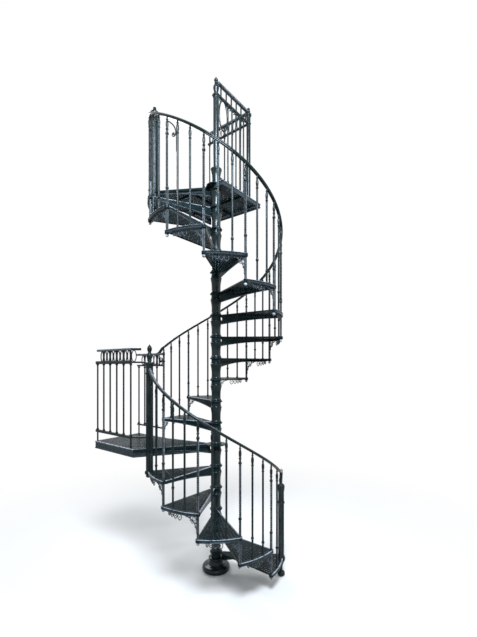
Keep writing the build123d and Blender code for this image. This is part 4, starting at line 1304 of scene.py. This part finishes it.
@dataclass
class Newels:
    """Round newels with ringed capitals and lobed finials."""

    radius: float = 0.031
    landing_radius: float = 0.036
    capital: float = 0.050
    capital_height: float = 0.038
    corner_radius: float = 0.025
    corner_capital: float = 0.036
    above_rail: float = 0.020
    below_guard: float = 0.020
    foot_drop: float = 0.030
    top_drop: float = 0.1225
    sides: int = 32

    def finial(self, bottom: float, height: float, width: float) -> Array:
        """Profile of a two lobed finial on a short neck."""
        shares = ((0.55, 0.0), (0.62, 0.05), (0.52, 0.10), (0.90, 0.20), (1.0, 0.30), (0.90, 0.40),
                  (0.58, 0.50), (0.50, 0.54), (0.66, 0.60), (0.80, 0.70), (0.76, 0.80),
                  (0.44, 0.90), (0.20, 0.95), (0.10, 1.0))
        return flow(shares, 2) * (width, height) + (0.0, bottom)

    def post(self, radius: float, height: float, capital: float, finial_height: float,
             width: float) -> Shape:
        """Post with a moulded foot, a ring, a capital and a finial.

        Args:
            radius: its shaft's.
            height: up to the capital.
            capital: the capital's radius.
            finial_height: height of the finial.
            width: the finial's radius.

        Returns:
            The newel, its foot at the axis.
        """
        ring_rows = ((1, -110), (1.02, -96), (1.2, -90), (1.2, -80), (1.02, -74), (0.96, -60),
                     (1, -20), (1.06, -6))
        shaft = np.concatenate([
            [(radius, 0.02)], over(radius, height, ring_rows),
            over(capital, height, ((0.96, 6), (1, 13), (1, 22), (0.94, 27))),
            [(radius * 0.95, height + 0.031)],
        ])
        finial = self.finial(height + self.capital_height, finial_height, width)
        foot = [(radius * 0.9, 0.0), (radius, 0.004)]
        return turned(np.concatenate([foot, flow(shaft, 3), finial]), self.sides)

    def start(self) -> Shape:
        """First newel: ball foot on the paving, slim stem, flared cup under the tread and post."""
        top = CLIMB.first_rise + CLIMB.rail(CLIMB.set_back) - self.top_drop
        stem = mm((30, 1.5), (37.5, 12), (39.5, 25), (36.5, 38), (26, 47), (18.5, 52), (16, 60),
                  (15.5, 78), (17, 98), (23, 122), (31, 142), (37, 154), (38.5, 160), (36, 160.5))
        foot = ((1.12, 192.5), (1.16, 199), (1.12, 206), (1, 209), (1, 230))
        head = ((1, -180), (1.04, -172), (1.2, -166), (1.2, -156), (1.04, -150), (0.98, -130),
                (0.98, -60), (1.1, -30), (1.19, -8), (1.19, 10), (1, 22), (0.6, 32), (0.12, 37.5))
        post = np.concatenate([over(self.radius, 0, foot), over(self.radius, top, head)])
        seat = [(self.radius, 0.1612), (self.radius, 0.192)]
        profile = np.concatenate([mm((16, 0)), flow(stem, 3), seat, flow(post, 3)])
        azimuth = CLIMB.first_nosing - CLIMB.set_back
        return turned(profile, self.sides).moved(azimuth, 0, CLIMB.post_radius)

    def column_top(self) -> Shape:
        """Newel on the top hub: a last sleeve, a post, a ring, an urn and an acorn."""
        sleeve = mm((50, 13), (46.5, 19), (45, 30), (45, 80), (48, 110), (53, 136), (58.8, 162))
        post = mm((60.4, 165), (61.2, 170), (60.4, 176), (56, 180), (44, 185), (35, 191),
                  (31.5, 199), (31, 215), (31, 925), (32.86, 942), (37, 952), (42.5, 959),
                  (42.5, 966), (36, 972), (23, 978), (21.5, 990), (24, 1010), (30, 1035),
                  (31.5, 1052), (27.5, 1070), (17, 1083), (12, 1090), (18, 1095), (18, 1100),
                  (12, 1105), (15, 1112), (21.5, 1124), (21.5, 1134), (15, 1148), (7, 1158),
                  (2, 1166.8))
        profile = np.concatenate([foot_bead(), flow(sleeve, 3), flow(post, 3)])
        height = CLIMB.height(CLIMB.top) + CLIMB.hub_rise
        return turned(profile, self.sides).moved(height=height)

    def build(self, shop: Workshop) -> None:
        """Makes the five newels."""
        shop.piece("start_newel", self.start(), Finish.RAILINGS, TURNED)
        foot = CLIMB.riser + CLIMB.edge_depth + self.foot_drop
        for node, step, first, count, finial, width in (
            ("landing_newel", CLIMB.middle, 1, CLIMB.lower, 0.170, 0.030),
            ("upper_end_newel", CLIMB.top, CLIMB.middle + 1, CLIMB.upper, 0.055, 0.0215),
        ):
            bottom = CLIMB.height(step) - foot
            rail = CLIMB.height(first) + CLIMB.rail(count * CLIMB.pitch + CLIMB.post_turn)
            height = rail + self.above_rail - bottom
            post = self.post(self.landing_radius, height, self.capital, finial, width)
            placed = post.moved(CLIMB.post(step), bottom, CLIMB.post_radius)
            shop.piece(node, placed, Finish.RAILINGS, TURNED)
        shop.piece("column_newel", self.column_top(), Finish.COLUMN, TURNED)
        height = SITE.top_guard - self.below_guard - self.capital_height
        corner = self.post(self.corner_radius, height, self.corner_capital, 0.070, 0.0215)
        placed = corner.at(SITE.corner, 0.0, CLIMB.height(CLIMB.top))
        shop.piece("corner_newel", placed, Finish.RAILINGS, TURNED)


# Handrails


@dataclass
class Handrails:
    """Moulded spiral handrails: a rolled tongue at the foot and a level turn at the landing."""

    width: float = 0.034
    guard_rail: float = 0.9715
    level_end: float = 6.0
    end_gap: float = 3.1
    tongue: int = 20
    tongue_tip: float = 0.5
    lower_stations: int = 56
    upper_stations: int = 130
    sharp: float = 44.0

    def section(self) -> Array:
        """Moulded section: a round back, hollow sides and a flat underside."""
        shares = np.array([(0, 1), (0.42, 0.95), (0.74, 0.72), (0.94, 0.34), (1, -0.05),
                           (0.92, -0.34), (0.74, -0.46), (0.66, -0.62), (0.70, -0.96), (0.62, -1)])
        right = shares * (self.width / 2, CLIMB.rail_depth / 2)
        return np.concatenate([right, right[:0:-1] * (-1, 1)])

    def helix(self, first_step: int, turns: Array) -> Array:
        """Line of the rail on the curve: its azimuth goes down and its height up with the turn."""
        line = unit(CLIMB.nosing(first_step) - turns) * CLIMB.post_radius
        line[:, 2] = CLIMB.height(first_step) + CLIMB.rail(turns)
        return line

    def carried(self, path: Array, across: Array | None = None,
                scale: Array | float = 1.0) -> Shape:
        """Rail along a path: its section stays level across the way and square to it.

        Args:
            path: the rail's line.
            across: directions across it, or none where they follow from the line.
            scale: share of the section's size at each point.

        Returns:
            The rail, its back a little rubbed, with a narrow painted highlight along its crown.
        """
        ahead = np.gradient(path, axis=0)
        ahead /= np.linalg.norm(ahead, axis=1, keepdims=True)
        if across is None:
            across = np.cross(ahead, UP)
            across /= np.linalg.norm(across, axis=1, keepdims=True)
        section = self.section()
        sections = section * np.broadcast_to(scale, len(path))[:, None, None]
        # Pale rubbed colour on the crown and shoulders: a narrow painted highlight, with a little
        # wear.
        rubbed_and_highlight = np.zeros(len(section))
        rubbed_and_highlight[0], rubbed_and_highlight[[1, -1]] = WEAR_AND_HIGHLIGHT.rail_crown, WEAR_AND_HIGHLIGHT.rail_shoulder
        rail = sweep(path, across, np.cross(across, ahead), sections)
        return rail.worn_and_highlit(np.tile(rubbed_and_highlight, len(path)))

    def end(self, treads: int) -> float:
        """Turn where a flight's rail ends, by its last newel."""
        return treads * CLIMB.pitch + CLIMB.post_turn - self.end_gap

    def lower(self) -> Shape:
        """Lower rail: level over the first newel, rolled down behind it, its tip curled in."""
        rows = mm((-33.5, -118), (-45, -132), (-62, -125), (-75, -96), (-78, -56), (-71, -13),
                  (-54, 20), (-27, 40), (2, 48), (33, 51), (64, 56), (96, 65.5), (130, 79.1))
        roll = flow(rows)
        turns = CLIMB.set_back + np.degrees(roll[:, 0] / CLIMB.post_radius)
        start = unit(CLIMB.first_nosing - turns) * CLIMB.post_radius
        start[:, 2] = CLIMB.first_rise + CLIMB.rail(CLIMB.set_back) + roll[:, 1]
        more = np.linspace(turns[-1], self.end(CLIMB.lower), self.lower_stations)[1:]
        path = np.concatenate([start, self.helix(1, more)])
        across = -unit(CLIMB.first_nosing - np.concatenate([turns, more]))
        scale = np.ones(len(path))
        scale[:self.tongue] = np.linspace(self.tongue_tip, 1.0, self.tongue)
        return self.carried(path, across, scale)

    def level_turn(self) -> Array:
        """Line from the landing side guard's rail, over the first corner bar, to the curve."""
        step = CLIMB.middle + 1
        x, y = polar(CLIMB.post_radius, CLIMB.post(step))
        low = CLIMB.height(CLIMB.middle) + self.guard_rail
        fall = CLIMB.height(step) + CLIMB.rail(CLIMB.post_turn) - low
        rows = np.array([(0, 0.165, 0), (0, 0.125, 0), (0, 0.092, 0.10), (0, 0.062, 0.38),
                         (0, 0.034, 0.74), (0.003, 0.012, 0.94)]) * (1, 1, fall)
        curve = self.helix(step, np.array([3.0, 4.6, self.level_end]))
        return flow(np.concatenate([rows + (x, y, low), curve]))[:-1]

    def build(self, shop: Workshop) -> None:
        """Makes both handrails."""
        turns = np.linspace(self.level_end, self.end(CLIMB.upper), self.upper_stations)
        upper = np.concatenate([self.level_turn(), self.helix(CLIMB.middle + 1, turns)])
        shop.piece("lower_handrail", self.lower(), Finish.RAILS, self.sharp)
        shop.piece("upper_handrail", self.carried(upper), Finish.RAILS, self.sharp)


# Guards


@dataclass
class Guards:
    """Straight guard panels: a flat top rail, a frieze of ovals, collared bars and a foot rail."""

    bar: float = 0.017
    rail_width: float = 0.038
    second_width: float = 0.026
    frieze: float = 0.144
    foot_gap: float = 0.106
    foot_line: float = 0.112
    collar_drop: float = 0.022
    collar_rise: float = 0.026
    inset: float = 0.021
    spacing: float = 0.121
    wall_gap: float = 0.023
    oval_width: float = 0.046
    oval_gap: float = 0.008
    oval_bar: Pair = (0.0075, 0.012)
    newel: float = 0.027

    def level_rail(self, start: float, end: float, height: float, width: float,
                   depth: float) -> Shape:
        """Level rail with rounded edges between two places along a flat run.

        A flat run has x along it, y up and z out of it, so the rail's width goes out.
        """
        section = rounded(width, depth, min(width, depth) * ROUNDING)
        return sweep(np.array([(start, height, 0.0), (end, height, 0.0)]), UP, SIDE, section)

    def top_rail(self, start: float, end: float, height: float) -> Shape:
        """Flat top rail between two places, its back at a height."""
        depth = CLIMB.rail_depth
        return self.level_rail(start, end, height - depth / 2, self.rail_width, depth)

    def upright_bar(self, place: float, foot: float, top: float,
                    collars: Numbers = ()) -> list[Shape]:
        """Round bar with small collars at heights."""
        half = self.bar / 2
        profiles = [((half, foot), (half, top)),
                    *(bead(half * 1000, 12.5, 14.2, 10, 7, height) for height in collars)]
        return [turned(profile, 12).mapped(lambda points: points[:, [0, 2, 1]] + (place, 0, 0))
                for profile in profiles]

    def spaced(self, first: float, last: float, spacing: float) -> list[float]:
        """Evenly spaced places, about a spacing apart."""
        count = max(1, round((last - first) / spacing))
        return [first + (last - first) * index / count for index in range(count + 1)]

    def panel(self, rail: Pair, second: Pair,
              places: Numbers, height: float, posts: Numbers,
              thick: float = 0.020) -> list[Shape]:
        """One straight run, flat: rails, bars with collars and posts over the second rail.

        Args:
            rail: ends of the top rail.
            second: ends of the second rail and the foot rail.
            places: places of the bars. The first and the last reach the deck.
            height: back of the top rail.
            posts: places of the posts.
            thick: depth of the second rail.

        Returns:
            The run's parts.
        """
        line = height - self.frieze
        shapes = [
            # Top rail: a little of the pale rubbed colour all over, worn paint and painted
            # highlight.
            self.top_rail(*rail, height).worn_and_highlit(WEAR_AND_HIGHLIGHT.guard_rail),
            self.level_rail(*second, line, self.second_width, thick),
            self.level_rail(*second, self.foot_line, self.second_width, thick * 0.9),
        ]
        for place in places:
            foot = 0.0 if place in (places[0], places[-1]) else self.foot_gap
            collars = (line - self.collar_drop, self.foot_gap + self.collar_rise)
            shapes += self.upright_bar(place, foot, line, collars)
        for place in posts:
            shapes += self.upright_bar(place, line, height - CLIMB.rail_depth)
        return shapes

    def ovals(self, posts: Numbers, height: float,
              sides: Sequence[int] = (-1, 1)) -> list[Shape]:
        """Upright ovals beside the posts, between the second rail and the top rail."""
        low, high = height - self.frieze + self.oval_gap, height - CLIMB.rail_depth
        wide, reach = self.oval_width, (self.bar + self.oval_width) / 2
        return [
            ring(oval(post + side * reach, (low + high) / 2, wide, high - low, 22), *self.oval_bar)
            for post in posts for side in sides
        ]

    def stood(self, run: Iterable[Shape], start: Numbers, end: Numbers,
              step: int) -> Shape:
        """A flat run stood on a landing, on the line from a start towards an end."""
        return Shape.joined(shape.upright(start, end, CLIMB.height(step)) for shape in run)

    def landing(self) -> tuple[Shape, Shape]:
        """Guard on the middle landing's open side, and its rails round to the newel."""
        x, height = self.inset - CLIMB.rim, SITE.landing_guard
        places = [self.wall_gap + index * self.spacing for index in range(6)]
        length = places[-1]
        corner, newel = (x, SITE.wall - length), polar(CLIMB.post_radius, CLIMB.post(CLIMB.middle))
        run = self.panel((0.034, length + 0.012), (0.0, length + 0.006), places, height,
                         places[1:], 0.034)
        run += self.ovals(places[1:-1], height) + self.ovals(places[-1:], height, (-1,))
        end = hypot(newel[0] - corner[0], newel[1] - corner[1]) - 0.0375
        rails = [
            self.top_rail(0.012, end - 0.048, height),
            self.level_rail(0.012, end, height - self.frieze, 0.020, 0.018),
            self.level_rail(0.012, end, self.foot_line, 0.020, 0.018),
            *self.ovals((0.0,), height, (1,)),
        ]
        return (self.stood(run, (x, SITE.wall), corner, CLIMB.middle),
                self.stood(rails, corner, newel, CLIMB.middle))

    def landing_side(self) -> Shape:
        """Short guard beside the upper flight's first corner bar: a ringed scroll, then ovals."""
        post = polar(CLIMB.post_radius, CLIMB.post(CLIMB.middle + 1))
        length, height = SITE.wall - post[1], SITE.side_guard
        places = self.spaced(self.spacing, length - self.wall_gap, self.spacing)
        run = self.panel((0.013, length), (0.013, length), places, height, places[:-1])
        middle = height - (self.frieze + CLIMB.rail_depth) / 2
        run += [
            ring(oval(0.050, middle - 0.012, 0.066, 0.082, 22), 0.009, 0.013),
            scroll(0.050, middle - 0.010, (0.022, 0.004), (60, 520), 0.006, 0.011),
            ball(0.009, 0.050, middle - 0.010),
            scroll(0.094, middle + 0.030, (0.018, 0.004), (250, -160), 0.006, 0.011),
            *self.ovals(places[:-1], height),
        ]
        return self.stood(run, post, (post[0], SITE.wall), CLIMB.middle)

    def top_front(self) -> Shape:
        """Guard from the column to the corner: posts over scrolls, a tall oval, linked arches."""
        height = SITE.top_guard
        line, depth, hoop = height - self.frieze, 0.011, 0.120
        ends = (0.031, SITE.corner - self.newel)
        places = self.spaced(0.199, 0.490, 0.0727)
        run = self.panel(ends, ends, places, height, self.spaced(0.080, 0.530, 0.090), 0.026)
        run.append(ring(oval(hoop, line - 0.178, 0.140, 0.330, 30), 0.014, 0.017))
        run += [
            scroll(hoop + side * 0.052, line - 0.028, (0.018, 0.004), (90, 90 + side * 420),
                   0.006, depth)
            for side in (-1, 1)
        ]
        for left, right in zip(places, places[1:]):
            middle, half = (left + right) / 2, (right - left) / 2
            arc = unit(np.linspace(180, 0, 13))[:, :2] * (half, half * 1.3)
            run.append(strip(arc + (middle, line - 0.070), 0.007, depth))
            run += [
                scroll(middle + side * 0.017, line - 0.026, (0.0135, 0.003),
                       (90, 90 + side * 400), 0.0055, depth, 16)
                for side in (-1, 1)
            ]
            run.append(ball(0.0075, middle, line - 0.048, sides=8))
        return self.stood(run, (0, 0), (1, 0), CLIMB.top)

    def top_side(self) -> Shape:
        """Guard from the corner newel to the balcony's edge."""
        ends, height = (self.newel, SITE.balcony), SITE.top_guard
        places = self.spaced(self.spacing, SITE.balcony - self.wall_gap, self.spacing)
        run = self.panel(ends, ends, places, height, places, 0.022)
        run += self.ovals(places[:-1], height) + self.ovals(places[-1:], height, (-1,))
        return self.stood(run, (SITE.corner, 0), (SITE.corner, 1), CLIMB.top)

    def build(self, shop: Workshop) -> None:
        """Makes the five panels."""
        guard, back = self.landing()
        for node, shape in (
            ("landing_guard", guard), ("landing_guard_return", back),
            ("landing_side_guard", self.landing_side()), ("top_front_guard", self.top_front()),
            ("top_side_guard", self.top_side()),
        ):
            shop.piece(node, shape, Finish.RAILINGS)


# Studio


@dataclass(frozen=True)
class Lamp:
    """Square soft lamp at a place, turned to a point."""

    name: str
    place: Triple
    aim: Triple
    size: float
    power: float
    colour: Triple

    def build(self) -> None:
        """Hangs the lamp."""
        data = bpy.data.lights.new(self.name, "AREA")
        data.size, data.energy, data.color = self.size, self.power, self.colour
        lamp = in_scene(self.name, data)
        away = np.subtract(self.place, self.aim)
        yaw = float(np.arctan2(away[1], away[0]))
        tilt = float(np.arctan2(hypot(away[0], away[1]), away[2]))
        lamp.location, lamp.rotation_euler = self.place, (0.0, tilt, yaw)


LAMPS = (
    Lamp("key", (-2.6, -2.6, 6.0), (0, 0, 4.9), 2.0, 720.0, (0.80, 0.88, 1.0)),
    Lamp("fill", (3.5, -5.0, 4.4), (0, 0, 2.8), 4.0, 90.0, (0.92, 0.96, 1.0)),
    Lamp("back", (2.5, 5.0, 6.0), (0, 0, 2.8), 3.0, 170.0, (0.95, 0.97, 1.0)),
)


@dataclass
class Studio:
    """Pale floor, white backdrop, soft lamps and the photograph's viewpoint."""

    eye: Triple = (-2.818, -2.464, 2.154)
    look: float = 37.5
    lens: float = 19.77
    shift: float = 0.0757
    sky: Triple = (0.84, 0.91, 1.0)
    sky_strength: float = 0.46
    backdrop: Triple = (1.0, 1.0, 1.0)
    floor_colour: Triple = (0.82, 0.80, 0.76)
    floor_size: float = 30.0
    fade: Pair = (1.3, 4.6)

    def camera(self) -> None:
        """Level camera at the viewpoint, shifted up as the photograph is framed."""
        data = bpy.data.cameras.new("viewpoint")
        data.lens, data.sensor_width, data.shift_y = self.lens, 36.0, self.shift
        camera = in_scene("viewpoint", data)
        camera.location = self.eye
        camera.rotation_euler = (radians(90), 0.0, radians(self.look - 90))
        bpy.context.scene.camera = camera

    def world(self) -> None:
        """Soft cool light all round, with a white backdrop for the camera and for reflections."""
        world = bpy.data.worlds.new("overcast")
        bpy.context.scene.world = world
        world.use_nodes = True
        world.node_tree.nodes.clear()
        nodes = Nodes(world.node_tree)
        light = nodes.add("Background", {"Color": self.sky, "Strength": self.sky_strength})
        white = nodes.add("Background", {"Color": self.backdrop})
        rays = {0: nodes.add("LightPath", output="Is Camera Ray"),
                1: nodes.add("LightPath", output="Is Glossy Ray")}
        seen = nodes.add("Math", rays, operation="MAXIMUM")
        out = world.node_tree.nodes.new("ShaderNodeOutputWorld")
        nodes.fill(out, {"Surface": nodes.add("MixShader", {0: seen, 1: light, 2: white})})

    def floor(self) -> None:
        """Wide pale floor that melts into the backdrop for the camera, away from the stair."""
        mesh = bpy.data.meshes.new("floor")
        size = self.floor_size
        corners = [(-size, -size, 0), (size, -size, 0), (size, size, 0), (-size, size, 0)]
        mesh.from_pydata(corners, [], [(0, 1, 2, 3)])
        material, nodes, shader = blank_material("pale floor")
        nodes.fill(shader, {"Base Color": self.floor_colour, "Roughness": 0.75})
        place = nodes.add("TexCoord", output="Object")
        away = nodes.add("VectorMath", {0: place}, "Value", operation="LENGTH")
        share = nodes.times(nodes.ramp(away, *self.fade), nodes.add("LightPath"))
        faded = {0: share, 1: shader.outputs["BSDF"], 2: nodes.add("Emission")}
        out = material.node_tree.nodes["Material Output"]
        nodes.fill(out, {"Surface": nodes.add("MixShader", faded)})
        mesh.materials.append(material)
        floor = in_scene("floor", mesh)

    def build(self) -> None:
        """Sets up the studio."""
        bpy.context.scene.view_settings.view_transform = "Standard"
        self.camera()
        self.world()
        self.floor()
        for lamp in LAMPS:
            lamp.build()


def main() -> None:
    """Builds the stair's looks round the frame."""
    logging.basicConfig(level=logging.INFO, format="%(message)s")
    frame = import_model()
    shop = Workshop()
    column = Column()
    treads = Treads(column)
    column.build(shop, frame["nodes"])
    for part in (treads, Landings(column, treads), Bars(), Newels(), Handrails(), Guards()):
        part.build(shop)
    Studio().build()


if __name__ == "__main__":
    main()
